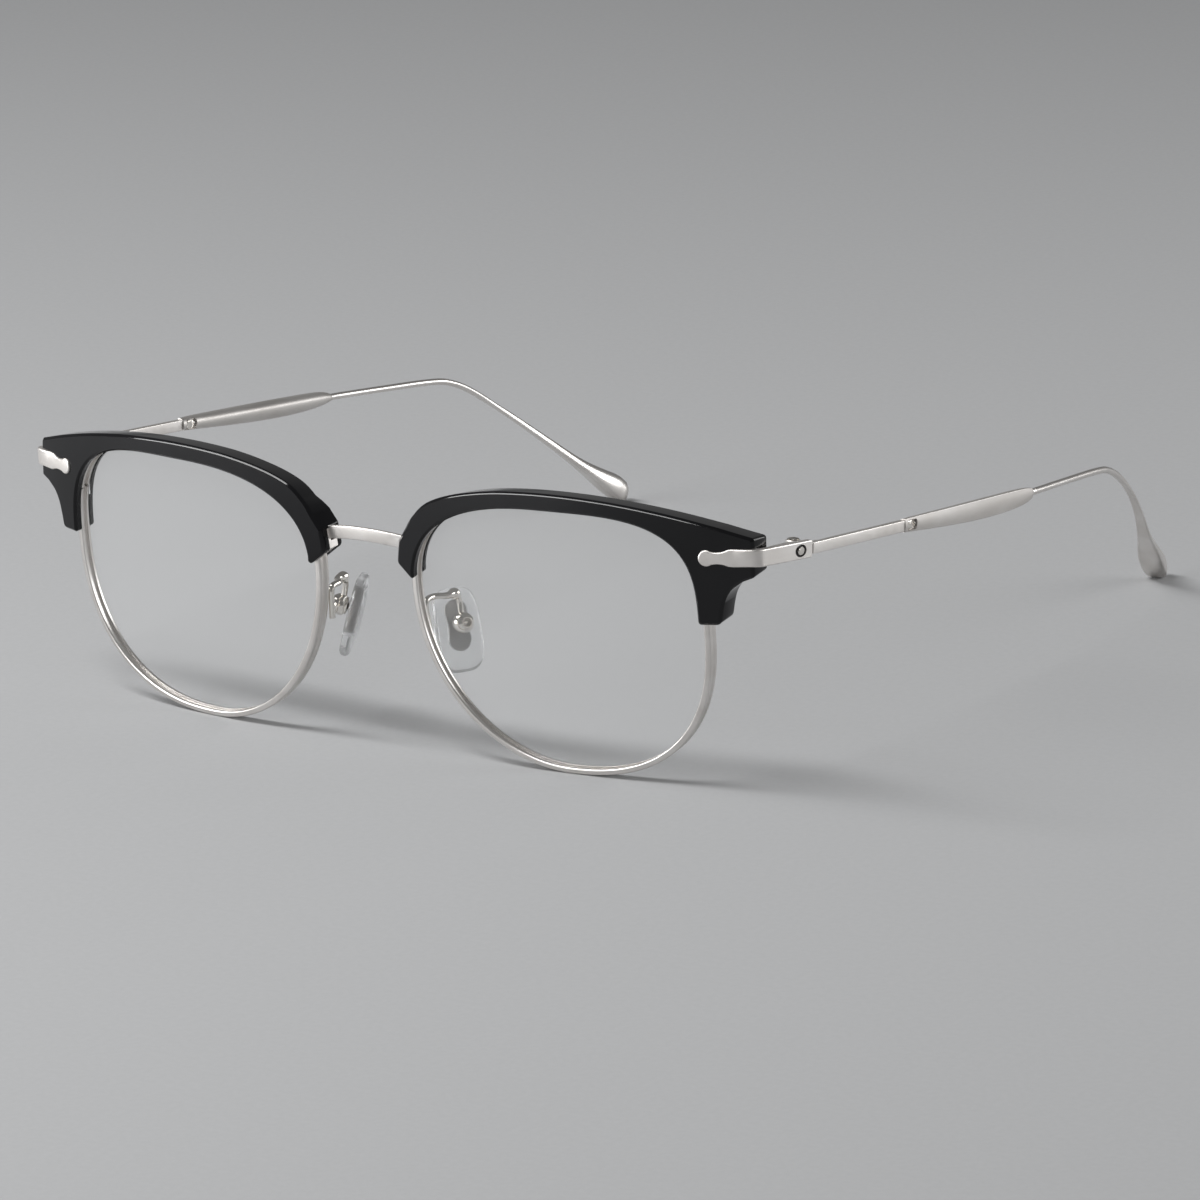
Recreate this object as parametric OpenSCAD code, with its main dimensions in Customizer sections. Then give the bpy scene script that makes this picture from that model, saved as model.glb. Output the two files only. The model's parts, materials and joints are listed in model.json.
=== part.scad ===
// Browline spectacles, standing open on the bottoms of their rims and on the tips of their temples.
// The front faces -Y, the temples run back along +Y and Z is up, with the floor at Z = 0.
// Left and right are the wearer's, so the left half lies on +X. Each piece is drawn for the left
// half, and its right twin is the mirror image. A lens has a frame of its own, with u along X
// away from the nose, depth along Y and v along Z up from the lowest point of the rim.

/* [Lenses and rims] */
// Width of the opening in a rim
eye_w = 50.4; // [47:0.1:54]
// Height of the opening in a rim
eye_h = 42.6; // [40:0.1:45]
// Height of the opening's widest point beside the temple, above its lowest point
waist_side = 24.9; // [23:0.1:26]
// Height of the opening's widest point beside the nose, above its lowest point
waist_nose = 27.4; // [25:0.1:29]
// Squareness of the opening's upper quarter beside the temple
square_top_side = 3.25; // [2.5:0.05:3.6]
// Squareness of the opening's upper quarter beside the nose
square_top_nose = 2.4; // [2:0.05:3]
// Squareness of the opening's lower quarter beside the temple
square_low_side = 2.4; // [2.1:0.05:2.8]
// Squareness of the opening's lower quarter beside the nose
square_low_nose = 2; // [1.8:0.05:2.4]
// Distance between the two openings at the nose
bridge_gap = 20; // [18:0.1:23]
// Radius of the front surface of a lens
base_r = 120; // [100:1:200]
// Angle by which the front leans forward
front_tilt = 5.7; // [3:0.1:8]
// Angle by which each lens turns back towards its temple
front_wrap = 5.5; // [3:0.1:8]
// Thickness of a lens
lens_t = 1.6; // [1.3:0.1:1.7]
// Thickness of the bevel round a lens
bevel_t = 0.8; // [0.6:0.1:1]
// Height of the bevel round a lens
bevel_h = 0.4; // [0.3:0.05:0.5]
// Width of the rim wire, seen from the front
rim_w = 1; // [0.8:0.05:1.3]
// Depth of the rim wire from front to back
rim_d = 2; // [1.9:0.1:2.4]
// Distance by which the rim stands in front of the lens
rim_proud = 0.2; // [0.1:0.05:0.3]
// Width of the cut that splits a rim at its lock
rim_split = 0.2; // [0.1:0.05:0.4]
// Height of the lock's split below the top of the opening
lock_drop = 9.6; // [9.2:0.1:10.2]
// Width of the rim lock, out from the rim
lock_w = 2.2; // [1.8:0.1:2.6]
// Height of the rim lock
lock_h = 4; // [3.4:0.1:4.4]
// Radius of the rim lock's screw
lock_screw_r = 0.5; // [0.4:0.05:0.6]

/* [Brows] */
// Thickness of a brow in front of the rim
brow_lip = 1.4; // [1.2:0.1:1.8]
// Thickness of a brow behind the rim
brow_back = 0.9; // [0.7:0.1:1.4]
// Height of a brow above the middle of the opening
brow_top_h = 2.6; // [2:0.1:3]
// Radius of a brow's top edge
crown_r = 101; // [90:1:140]
// Angle by which a brow's top edge leans down to the back
top_lean = 11; // [0:0.5:14]
// Angle by which a brow's nose edge opens outwards to the back
nose_turn = 8; // [0:0.5:10]
// Reach of a brow's outer end beyond the opening
brow_reach = 8.9; // [8.4:0.1:10]
// Height of a brow's outer corner below the top of the opening
corner_drop = 9; // [8.8:0.1:9.4]
// Depth of a brow's foot below the top of the opening
foot_drop = 16.5; // [15.8:0.1:18]
// Depth of a brow's nose tip below the top of the opening
nose_drop = 14.3; // [13.8:0.1:15]
// Width of a brow's nose end beside the opening
nose_w = 3; // [2.7:0.1:3.4]
// Overhang of a brow's lips past the rim, into the opening
lip_cover = 0.15; // [0.05:0.05:0.3]
// Height of the slot for the bridge's foot, up from the nose tip
slot_h = 7.6; // [7:0.1:8]
// Radius of a brow's sharpest corners
brow_round = 0.5; // [0.2:0.1:0.8]

/* [Bridge] */
// Height of the bridge strap
bridge_h = 2.15; // [1.6:0.05:2.6]
// Thickness of the bridge strap
bridge_t = 1.2; // [0.9:0.1:1.4]
// Rise of the bridge strap at its middle
bridge_rise = 1.1; // [0.5:0.1:3]
// Height of the bridge strap's ends below the top of the opening
bridge_drop = 9.5; // [9:0.1:9.8]
// Width of the bridge's foot beside the rim
foot_w = 1.3; // [1.1:0.1:1.5]
// Height of the bridge's foot
foot_h = 6; // [5:0.1:6.4]

/* [End straps] */
// Height of the end strap's shoulders and side
strap_h = 2.74; // [2.4:0.02:3]
// Thickness of the end strap
strap_t = 1.1; // [1:0.05:1.3]
// Depth to which the end strap is let into the brow
strap_inset = 0.7; // [0.5:0.05:0.8]
// Height of the end strap's middle below the top of the opening
strap_drop = 5.9; // [5.6:0.1:6.2]
// Radius of the round end of the strap
lobe_r = 1.25; // [1.1:0.05:1.35]
// Distance of the round end's centre from the opening
lobe_gap = 1.8; // [1.7:0.1:2.2]
// Half height of the strap's waist behind the round end
waist_h = 0.9; // [0.75:0.05:1.05]
// Radius of the outside of the strap's bend
bend_r = 1.9; // [1.5:0.1:2.6]
// Length of the strap's side, back from the bend
strap_run = 12.7; // [12:0.1:16]
// Angle by which the strap's side leads outwards
strap_splay = 5; // [3:0.5:7]
// Radius of the recess for the side disc
disc_recess_r = 0.98; // [0.8:0.02:1.1]
// Radius of the side disc
disc_r = 0.72; // [0.5:0.02:0.76]
// Distance of the side disc from the strap's end
disc_back = 2.9; // [2.4:0.1:4]

/* [Hinges] */
// Distance of the hinge axis from the strap's end
hinge_set = 1.9; // [1.7:0.1:2.4]
// Distance of the hinge axis inside the temple's outer face
hinge_in = 2.4; // [2.3:0.05:2.8]
// Radius of the hinge knuckles
knuckle_r = 1.2; // [1.1:0.05:1.25]
// Height of the temple's knuckle
knuckle_h = 1; // [0.9:0.02:1.1]
// Height of the hinge from the bottom knuckle to the top one
hinge_h = 2.7; // [2.5:0.1:3.2]
// Radius of the hinge screw
hinge_screw_r = 0.5; // [0.4:0.02:0.6]
// Radius of the hinge screw's head
screw_head_r = 0.95; // [0.8:0.05:1.1]
// Height of the hinge screw's head
screw_head_h = 0.4; // [0.35:0.05:0.6]
// Clearance between the hinge's turning faces
hinge_gap = 0.06; // [0.05:0.01:0.1]

/* [Temples] */
// Angle by which the temples slope down to the back
temple_slope = 5.6; // [4:0.1:7]
// Height of the temple bar
bar_h = 1.8; // [1.5:0.1:2.1]
// Thickness of the temple bar
bar_t = 1; // [0.8:0.05:1.1]
// Distance from the hinge axis to the front of the sleeve
sleeve_at = 27.3; // [24:0.1:32]
// Length of the sleeve
sleeve_l = 38.7; // [34:0.1:42]
// Height of the sleeve at its front
sleeve_h0 = 2.4; // [2.3:0.1:2.7]
// Height of the sleeve at its widest
sleeve_h1 = 3.2; // [2.8:0.1:3.6]
// Thickness of the sleeve
sleeve_t = 2; // [1.8:0.1:2.4]
// Angle by which the sleeve turns inwards
sleeve_turn = 2; // [0:0.1:3]
// Length of the window in the sleeve
window_l = 2.6; // [2:0.1:3.2]
// Height of the window in the sleeve
window_h = 1.7; // [1.5:0.1:1.9]
// Distance from the front of the sleeve to its window
window_at = 0.7; // [0.5:0.1:1.2]
// Radius of the ear wire
wire_r = 0.55; // [0.45:0.05:0.65]
// Distance from the hinge axis to the bend over the ear
bend_at = 97; // [93:0.5:106]
// Radius of the drop at the end of the ear wire, up and down
drop_r = 2.4; // [1.8:0.1:2.8]
// Radius of the drop at the end of the ear wire, from side to side
drop_side_r = 1.95; // [1.5:0.05:2.3]
// Length over which the ear wire swells into the drop
drop_l = 24; // [18:1:28]

/* [Nose pads] */
// Distance of the pad box from the rim's opening, away from the nose
pad_out = 1.8; // [1.4:0.1:2.4]
// Distance of the pad box behind the lens
pad_behind = 6.2; // [5.6:0.05:7]
// Height of the pad box above the floor
pad_z = 20.1; // [18:0.1:21]
// Angle by which a pad opens towards the back
pad_flare = 28; // [20:1:34]
// Angle by which a pad leans towards the nose at its top
pad_lean = 15.7; // [10:0.1:18]
// Height of a pad
pad_h = 13.3; // [12:0.1:15]
// Width of a pad
pad_w = 8; // [7:0.1:9]
// Thickness of a pad
pad_t = 1.7; // [1.5:0.1:1.9]
// Distance from the pad box's centre to the middle of the pad
pad_set = 2.35; // [2.3:0.05:3]
// Drop of the pad's middle below the pad box
pad_low = 1; // [0.5:0.1:1.5]
// Thickness of the metal plate in a pad
plate_t = 0.6; // [0.4:0.05:0.8]
// Radius of the metal plate's round ends
plate_r = 1.95; // [1.6:0.05:2.2]
// Radius of the pad box
box_r = 1.4; // [1.3:0.05:1.6]
// Radius of the ball on the pad's stud
ball_r = 0.8; // [0.7:0.02:0.84]
// Radius of the pad arm's wire
arm_r = 0.47; // [0.4:0.01:0.55]
// Height of the pad arm's solder joint above the bottom of the rim
arm_v = 25.6; // [25:0.1:26.4]
// Length of the pad arm's leg along the rim
leg_l = 6; // [5:0.1:7]

/* [Hidden] */
left = 1;
right = -1;

metal = "#cfcac4";
bright_metal = "#d9d4c8";
black = "#1b1b1d";

// Clearance between pieces that are seated in each other
seat = 0.03;
// Points in a quarter of the opening, and in a rounded corner
quarter_steps = 18;
corner_steps = 4;
// Depths of the ends of a cut that goes right through a front piece
cut_front = -6;
cut_back = 16;
dome_fn = 200;
round_fn = 48;

eye_top = rim_w + eye_h;
lens_mid = rim_w + eye_h / 2;
lens_x = (bridge_gap + eye_w) / 2;
nose_u = -eye_w / 2;
side_u = eye_w / 2;
rim_rear = rim_d - rim_proud;
brow_front = rim_proud + brow_lip;
brow_rear = rim_rear + brow_back;
bevel_front = (lens_t - bevel_t) / 2;

// Small helpers for directions, corners and curves
function unit(p) = p / norm(p);
function turned(p, a) = [p[0] * cos(a) - p[1] * sin(a), p[0] * sin(a) + p[1] * cos(a)];
function flat_cross(p, q) = p[0] * q[1] - p[1] * q[0];
function meet(p, d, q, e) = p + d * flat_cross(q - p, e) / flat_cross(d, e);
function least(list) = min([for (x = list) x]);

// A corner at p between its neighbours a and b, rounded to radius r
function corner(a, p, b, r) =
    let (
        to_a = unit(a - p),
        to_b = unit(b - p),
        half = acos(to_a * to_b) / 2,
        middle = p + unit(to_a + to_b) * r / sin(half),
        start = p + to_a * r / tan(half) - middle,
        end = p + to_b * r / tan(half) - middle,
        turn = atan2(flat_cross(start, end), start * end)
    )
    [for (k = [0:corner_steps]) middle + turned(start, turn * k / corner_steps)];

// A closed outline whose corners are all rounded to radius r
function rounded(pts, r) =
    let (n = len(pts))
    [for (i = [0:n - 1]) each corner(pts[(i + n - 1) % n], pts[i], pts[(i + 1) % n], r)];

// A smooth curve through a row of points, with a number of steps between each two
function smooth(pts, steps) =
    let (last = len(pts) - 1)
    [
        for (i = [0:last - 1], k = [0:steps - 1])
            let (
                t = k / steps,
                a = pts[max(i - 1, 0)],
                b = pts[i],
                c = pts[i + 1],
                d = pts[min(i + 2, last)]
            )
            b + (c - a) * t / 2 + (2 * a - 5 * b + 4 * c - d) * t * t / 2
                + (3 * b - a - 3 * c + d) * t * t * t / 2,
        pts[last]
    ];

// An outline moved outwards by d
function grown(pts, d) =
    let (n = len(pts))
    [
        for (i = [0:n - 1])
            let (along = unit(pts[(i + 1) % n] - pts[(i + n - 1) % n]))
            pts[i] + d * [along[1], -along[0]]
    ];

// The opening in a rim: four quarters of superellipses, which meet at its widest points
function eye_point(a) =
    let (
        c = cos(a),
        s = sin(a),
        waist = c >= 0 ? waist_side : waist_nose,
        square = s >= 0
            ? (c >= 0 ? square_top_side : square_top_nose)
            : (c >= 0 ? square_low_side : square_low_nose),
        rise = s >= 0 ? eye_h - waist : waist
    )
    [
        sign(c) * side_u * pow(abs(c), 2 / square),
        rim_w + waist + sign(s) * rise * pow(abs(s), 2 / square)
    ];
eye = [for (i = [0:4 * quarter_steps - 1]) eye_point(i * 90 / quarter_steps)];

// Edge of the opening beside the nose, at a height in its upper half
function nose_edge(v) =
    nose_u * pow(
        1 - pow((v - rim_w - waist_nose) / (eye_h - waist_nose), square_top_nose), 1 / square_top_nose
    );

// Depth of a surface that lies d behind the front of the lens, at u and v
function depth_at(u, v, d) =
    base_r - sqrt(pow(base_r - d, 2) - u * u - pow(v - lens_mid, 2));

// A point of the lens's frame in the frame of the whole front
function leaned(p) =
    let (q = turned([p[0], p[1]], front_wrap))
    [
        lens_x + q[0],
        q[1] * cos(front_tilt) - p[2] * sin(front_tilt),
        q[1] * sin(front_tilt) + p[2] * cos(front_tilt)
    ];
rim_low = least([for (p = grown(eye, rim_w)) leaned([p[0], depth_at(p[0], p[1], -rim_proud), p[1]])[2]]);
function on_front(p) = leaned(p) - [0, 0, rim_low];

// Outline of a brow, closed across the opening
brow_end = side_u + brow_reach;
function crown(u) = eye_top + brow_top_h - pow(u - 0.5, 2) / (2 * crown_r);
brow_nose_edge = [
    [nose_u - nose_w + 0.6, eye_top - 9],
    [nose_u - nose_w + 1.7, eye_top - 6.6],
    [nose_u - nose_w + 3.3, eye_top - 4],
    [nose_u - nose_w + 5.7, eye_top - 1.7],
    [nose_u - nose_w + 9, eye_top - 0.1],
    [nose_u - nose_w + 13.2, crown(nose_u - nose_w + 13.2) - 0.3],
    [nose_u - nose_w + 18.5, crown(nose_u - nose_w + 18.5) - 0.05]
];
brow_crown_edge = [
    for (k = [1:7])
        let (u = brow_end + (nose_u - nose_w + 18.5 - brow_end) * (8 - k) / 8)
        [u, crown(u)]
];
brow_foot_edge = [
    [side_u + 7, eye_top - corner_drop - 0.7],
    [side_u + 5.4, eye_top - corner_drop - 1.8],
    [side_u + 4.4, eye_top - corner_drop - 3.3],
    [side_u + 3.9, eye_top - corner_drop - 5],
    [side_u + 3.6, eye_top - foot_drop + 0.9]
];
brow_corner_high = [brow_end, crown(brow_end)];
brow_corner_low = [brow_end, eye_top - corner_drop];
brow_foot = [side_u + 3.3, eye_top - foot_drop];
brow_outline = concat(
    [[nose_u + 4, eye_top - nose_drop], [nose_u + 0.2, eye_top - nose_drop]],
    [[nose_u - nose_w, eye_top - nose_drop + 2.6]],
    smooth(concat(brow_nose_edge, brow_crown_edge), 3),
    corner(brow_crown_edge[6], brow_corner_high, brow_corner_low, brow_round),
    corner(brow_corner_high, brow_corner_low, brow_foot_edge[0], brow_round),
    smooth(brow_foot_edge, 3),
    corner(brow_foot_edge[4], brow_foot, brow_foot - [3, 0], brow_round / 2),
    [[side_u - 4, eye_top - foot_drop]]
);

// Outline of the blank that a brow is cut from, whose top leans down to the back
brow_blank = concat(
    [[nose_u + 4, eye_top - nose_drop - 0.5], [nose_u, eye_top - nose_drop - 0.5]],
    [[nose_u - nose_w, eye_top - nose_drop + 2.6]],
    smooth(concat(brow_nose_edge, brow_crown_edge), 3),
    [[brow_end + 8, crown(brow_end + 8)], [brow_end + 8, eye_top - foot_drop - 4]]
);

// Outline of the end strap on the front of a brow: a round end, a waist and two shoulders
strap_v = eye_top - strap_drop;
lobe_u = side_u + lobe_gap;
strap_edge = concat(
    [for (a = [180:-18:54]) lobe_r * [cos(a), sin(a)]],
    smooth([[1.25, waist_h + 0.03], [1.9, waist_h], [2.7, waist_h + 0.12], [3.5, strap_h / 2 - 0.06]], 2),
    [[4.2, strap_h / 2], [brow_end - lobe_u, strap_h / 2]]
);
function strap_outline(gap) = concat(
    [for (p = strap_edge) [lobe_u + p[0], strap_v + p[1] + gap] - (p[0] < 0 ? [gap, 0] : [0, 0])],
    [[brow_end + 1, strap_v + strap_h / 2 + gap], [brow_end + 1, strap_v - strap_h / 2 - gap]],
    [
        for (i = [len(strap_edge) - 1:-1:0])
            let (p = strap_edge[i])
            [lobe_u + p[0], strap_v - p[1] - gap] - (p[0] < 0 ? [gap, 0] : [0, 0])
    ]
);
strap_front = -brow_front - strap_t + strap_inset;

// Plan of the end strap's bend and side, along its outer face. The strap is thinned a little behind
// its bend, where it clears the floor of its pocket.
bend_relief = 0.25;
function strap_face(u) = on_front([u, depth_at(u, strap_v, strap_front), strap_v]);
brow_side = on_front([brow_end, depth_at(brow_end, strap_v, -brow_front), strap_v]);
face_a = strap_face(brow_end - 1.5);
face_b = strap_face(brow_end);
front_way = unit([face_b[0] - face_a[0], face_b[1] - face_a[1]]);
side_way = [sin(strap_splay), cos(strap_splay)];
side_start = [brow_side[0] + seat + strap_t, brow_side[1]];
outer_turn = meet([face_a[0], face_a[1]], front_way, side_start, side_way);
outer_end = side_start + side_way * strap_run / side_way[1];
inward = [-side_way[1], side_way[0]] * strap_t;
backward = [-front_way[1], front_way[0]] * (strap_t - bend_relief);
inner_turn = meet([face_a[0], face_a[1]] + backward, front_way, side_start + inward, side_way);
strap_plan = concat(
    [[face_a[0], face_a[1]]],
    corner([face_a[0], face_a[1]], outer_turn, outer_end, bend_r),
    [outer_end, outer_end + inward],
    corner(outer_end + inward, inner_turn, [face_a[0], face_a[1]] + backward, bend_r - strap_t),
    [[face_a[0], face_a[1]] + backward]
);

// Hinge axis and the temple's frame, which slopes down to the back from it
temple_x = outer_end[0];
strap_end_y = outer_end[1];
hinge_x = temple_x - hinge_in;
hinge_y = strap_end_y - hinge_set;
hinge_z = brow_side[2] - (hinge_y - brow_side[1]) * tan(temple_slope);
half_hinge = hinge_h / 2;
half_knuckle = knuckle_h / 2;
bar_in = hinge_in - bar_t;
bar_front = hinge_set + 0.12;
leaf_back = 6.4;
leaf_t = bar_in + 0.05;

// The ear wire's way from the sleeve to its tip, in the temple's frame, before it is settled on
// the floor: out from the bar's middle, back from the hinge axis and up
bar_mid = hinge_in - bar_t / 2;
sleeve_end = sleeve_at + sleeve_l;
function sleeve_mid(y) = bar_mid - (y - sleeve_at) * tan(sleeve_turn);
wire_front = sleeve_at + window_at + window_l - 0.4;
wire_way = [
    [sleeve_mid(wire_front), wire_front, 0],
    [sleeve_mid(sleeve_end - 2), sleeve_end - 2, 0],
    [sleeve_mid(sleeve_end + 2), sleeve_end + 2, 0],
    [bar_mid - 2.6, sleeve_end + (bend_at - sleeve_end) * 0.38, 0],
    [bar_mid - 4.2, bend_at - 6.5, -0.1],
    [bar_mid - 5, bend_at - 1.5, -0.7],
    [bar_mid - 5.9, bend_at + 3.5, -2.5],
    [bar_mid - 7.2, bend_at + 9, -5.5],
    [bar_mid - 9.5, bend_at + 15.5, -9.5],
    [bar_mid - 12.1, bend_at + 21.5, -13.5],
    [bar_mid - 14.3, bend_at + 27, -17.2],
    [bar_mid - 15.7, bend_at + 31, -19.8],
    [bar_mid - 16.5, bend_at + 33.6, -21.5]
];
wire_steps = 4;
wire_sides = 12;

// Length of a path from point i to its end
function rest_of(path, i) = i >= len(path) - 1 ? 0 : norm(path[i + 1] - path[i]) + rest_of(path, i + 1);
// Share of the drop's swelling at a distance s from the tip
function swell(s) =
    s <= drop_r
        ? sqrt(max(0.02, 1 - pow(1 - s / drop_r, 2)))
        : s >= drop_l ? 0 : pow((1 + cos(180 * (s - drop_r) / (drop_l - drop_r))) / 2, 1.3);
// Half sizes of the wire across and up, at a distance s from the tip
function wire_size(s) =
    s <= drop_r
        ? [drop_side_r, drop_r] * swell(s)
        : [wire_r, wire_r] + [drop_side_r - wire_r, drop_r - wire_r] * swell(s);

// A ring of points round point i of a path, with half sizes a across it and b up
function ring(path, i, size, sides) =
    let (
        along = unit(path[min(i + 1, len(path) - 1)] - path[max(i - 1, 0)]),
        across = unit(cross(along, [0, 0, 1])),
        up = cross(across, along)
    )
    [
        for (k = [0:sides - 1])
            path[i] + across * size[0] * cos(360 * k / sides) + up * size[1] * sin(360 * k / sides)
    ];
function wire_rings(way) =
    let (path = smooth(way, wire_steps))
    [for (i = [0:len(path) - 1]) ring(path, i, wire_size(rest_of(path, i)), wire_sides)];

// Heights above the floor, and the wire's drop drawn out so that its lowest point lies there
function temple_height(p) = hinge_z - p[1] * sin(temple_slope) + p[2] * cos(temple_slope);
function settled(way, k) = [for (p = way) [p[0], p[1], p[2] * k]];
function low_of(way) = least([for (r = wire_rings(way), p = r) temple_height(p)]);
wire_low = low_of(wire_way);
tip_fall = -wire_way[len(wire_way) - 1][2] * cos(temple_slope);
wire_once = settled(wire_way, 1 + wire_low / tip_fall);
wire_final = settled(wire_way, 1 + (wire_low + low_of(wire_once)) / tip_fall);
ear_rings = wire_rings(wire_final);

// Middle of the object's depth, which lies over the origin
function temple_depth(p) = hinge_y + p[1] * cos(temple_slope) + p[2] * sin(temple_slope);
back_end = max([for (r = ear_rings, p = r) temple_depth(p)]);
front_end = least([
    for (p = brow_nose_edge) on_front([p[0], depth_at(p[0], p[1], -brow_front), p[1]])[1]
]);
mid_y = (front_end + back_end) / 2;

// The sleeve: a D-shaped section, flat outside, which swells and closes to a round end
sleeve_sides = 20;
function sleeve_half_h(t) = lookup(t, [
    [0, sleeve_h0 / 2],
    [0.06, sleeve_h0 / 2],
    [0.35, (sleeve_h0 + 3 * sleeve_h1) / 8],
    [0.62, sleeve_h1 / 2],
    [0.85, sleeve_h1 * 0.46],
    [0.95, sleeve_h1 * 0.38],
    [0.985, sleeve_h1 * 0.27],
    [1, wire_r + 0.12]
]);
function sleeve_half_t(t) = lookup(t, [
    [0, sleeve_t * 0.42],
    [0.1, sleeve_t * 0.46],
    [0.5, sleeve_t / 2],
    [0.9, sleeve_t * 0.46],
    [1, wire_r + 0.12]
]);
sleeve_stops = [0, 0.04, 0.1, 0.18, 0.28, 0.4, 0.52, 0.64, 0.76, 0.86, 0.92, 0.96, 0.985, 1];
function sleeve_ring(t) =
    let (a = sleeve_half_t(t), b = sleeve_half_h(t))
    [
        for (k = [0:sleeve_sides - 1])
            let (
                c = cos(360 * k / sleeve_sides),
                s = sin(360 * k / sleeve_sides),
                square = c > 0 ? 5 : 2.3
            )
            [
                sleeve_mid(sleeve_at + t * sleeve_l) + sign(c) * a * pow(abs(c), 2 / square),
                sleeve_at + t * sleeve_l,
                sign(s) * b * pow(abs(s), c > 0 ? 0.5 : 2 / 2.3)
            ]
    ];

// Places of the pad box, its arm and the arm's leg
pad_box = [bridge_gap / 2 + pad_out, pad_behind, pad_z];
leg_u = nose_u - rim_w / 2;
function leg_at(v, shift) = on_front([leg_u + shift, depth_at(leg_u, v, rim_rear + arm_r + seat), v]);
arm_top = leg_at(arm_v, 0);
arm_way = [
    leg_at(arm_v - leg_l, 0.35),
    leg_at(arm_v - leg_l * 0.67, 0.15),
    leg_at(arm_v - leg_l * 0.33, 0),
    leg_at(arm_v - 0.6, 0) + [0, 0.1, 0],
    arm_top + [-0.1, 0.8, 0.1],
    arm_top + [-0.2, 2.6, 0.3],
    pad_box + [-1.4, -2, 5.5],
    pad_box + [-1.1, -0.5, 5.2],
    pad_box + [-0.9, 0.3, 4.3],
    pad_box + [-0.8, 0.4, 3.2],
    pad_box + [-0.6, 0.3, 2.1],
    pad_box + [-0.4, 0.2, 1.2]
];
arm_sides = 10;
pad_sides = 36;
function pad_ring(x, shrink) =
    [
        for (k = [0:pad_sides - 1])
            let (c = cos(360 * k / pad_sides), s = sin(360 * k / pad_sides))
            [
                x,
                -sign(c) * (pad_w / 2 - shrink) * pow(abs(c), 0.55),
                sign(s) * (pad_h / 2 - shrink) * pow(abs(s), 0.7) - pad_low
            ]
    ];

// The object stands with the middle of its depth over the origin, and its right half is a mirror image
module half(side) {
    if (side == left)
        translate([0, -mid_y, 0]) children();
    else
        mirror([1, 0, 0]) translate([0, -mid_y, 0]) children();
}

module lens_frame() {
    translate([lens_x, 0, -rim_low])
        rotate([front_tilt, 0, 0])
            rotate([0, 0, front_wrap])
                children();
}

module temple_frame() {
    translate([hinge_x, hinge_y, hinge_z])
        rotate([-temple_slope, 0, 0])
            children();
}

// The pad's frame: X away from the nose, Y along the pad's width and Z along its height
module pad_frame() {
    translate(pad_box)
        rotate([0, 0, -pad_flare])
            rotate([0, -pad_lean, 0])
                children();
}

// A cut through a front piece along its depth
module through(pts) {
    rotate([90, 0, 0])
        translate([0, 0, -cut_back])
            linear_extrude(cut_back - cut_front)
                polygon(pts);
}

// A cut through a front piece that runs down and outwards as it goes back, from an outline on the
// front of a brow
top_across = [cos(nose_turn), -sin(nose_turn), 0];
top_back = [sin(nose_turn) * cos(top_lean), cos(nose_turn) * cos(top_lean), -sin(top_lean)];
module leaning(pts) {
    rotate([90 - top_lean, 0, -nose_turn])
        translate([0, 0, -cut_back])
            linear_extrude(cut_back - 2 * cut_front)
                polygon([
                    for (p = pts)
                        let (q = [p[0], depth_at(p[0], p[1], -brow_front), p[1]])
                        [q * top_across, q * cross(top_across, top_back)]
                ]);
}

// A slab that follows the lens's curve from depth d0 to depth d1
module pane(pts, d0, d1) {
    intersection() {
        through(pts);
        difference() {
            translate([0, base_r, lens_mid]) sphere(base_r - d0, $fn = dome_fn);
            translate([0, base_r, lens_mid]) sphere(base_r - d1, $fn = dome_fn);
        }
    }
}

// A closed skin over a row of rings of points
module skin(rings) {
    n = len(rings[0]);
    m = len(rings);
    polyhedron(
        points = [for (r = rings) each r],
        faces = concat(
            [[for (k = [n - 1:-1:0]) k]],
            [
                for (i = [0:m - 2], k = [0:n - 1])
                    let (a = i * n + k, b = i * n + (k + 1) % n)
                    each [[a, b + n, a + n], [a, b, b + n]]
            ],
            [[for (k = [0:n - 1]) (m - 1) * n + k]]
        )
    );
}

module tube(way, steps, r, sides) {
    path = smooth(way, steps);
    skin([for (i = [0:len(path) - 1]) ring(path, i, [r, r], sides)]);
}

module upright(r, z0, z1) {
    translate([0, 0, z0]) cylinder(r = r, h = z1 - z0, $fn = round_fn);
}

module level(r, x0, x1) {
    translate([x0, 0, 0]) rotate([0, 90, 0]) cylinder(r = r, h = x1 - x0, $fn = round_fn);
}

// The rim wire: a grooved ring that is split at its lock
module eyewire(side) {
    color(metal) half(side) lens_frame()
        difference() {
            pane(grown(eye, rim_w), -rim_proud, rim_rear);
            through(eye);
            pane(grown(eye, bevel_h + seat), bevel_front - seat, bevel_front + bevel_t + seat);
            translate([side_u - 4, cut_front, eye_top - lock_drop - rim_split / 2])
                cube([8, cut_back - cut_front, rim_split]);
        }
}

module lens(side) {
    color([0.9, 0.95, 1, 0.35]) half(side) lens_frame()
        union() {
            pane(grown(eye, -seat), 0, lens_t);
            pane(grown(eye, bevel_h), bevel_front, bevel_front + bevel_t);
        }
}

// The rim lock's two halves, outside the rim and each side of its split
lock_u = side_u + rim_w + seat;
lock_v = eye_top - lock_drop;
module rim_lock(side) {
    color(metal) half(side) lens_frame()
        for (up = [0, 1]) {
            low = up == 1 ? lock_v + rim_split / 2 : lock_v - lock_h / 2;
            high = up == 1 ? lock_v + lock_h / 2 : lock_v - rim_split / 2;
            difference() {
                pane([[lock_u, low], [lock_u + lock_w, low], [lock_u + lock_w, high], [lock_u, high]],
                    -rim_proud, brow_rear - 0.3);
                translate([lock_u + lock_w / 2, lock_y, 0])
                    upright(lock_screw_r + (up == 1 ? 0.05 : 0), lock_v - lock_h, lock_v + lock_h);
            }
        }
}

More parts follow.
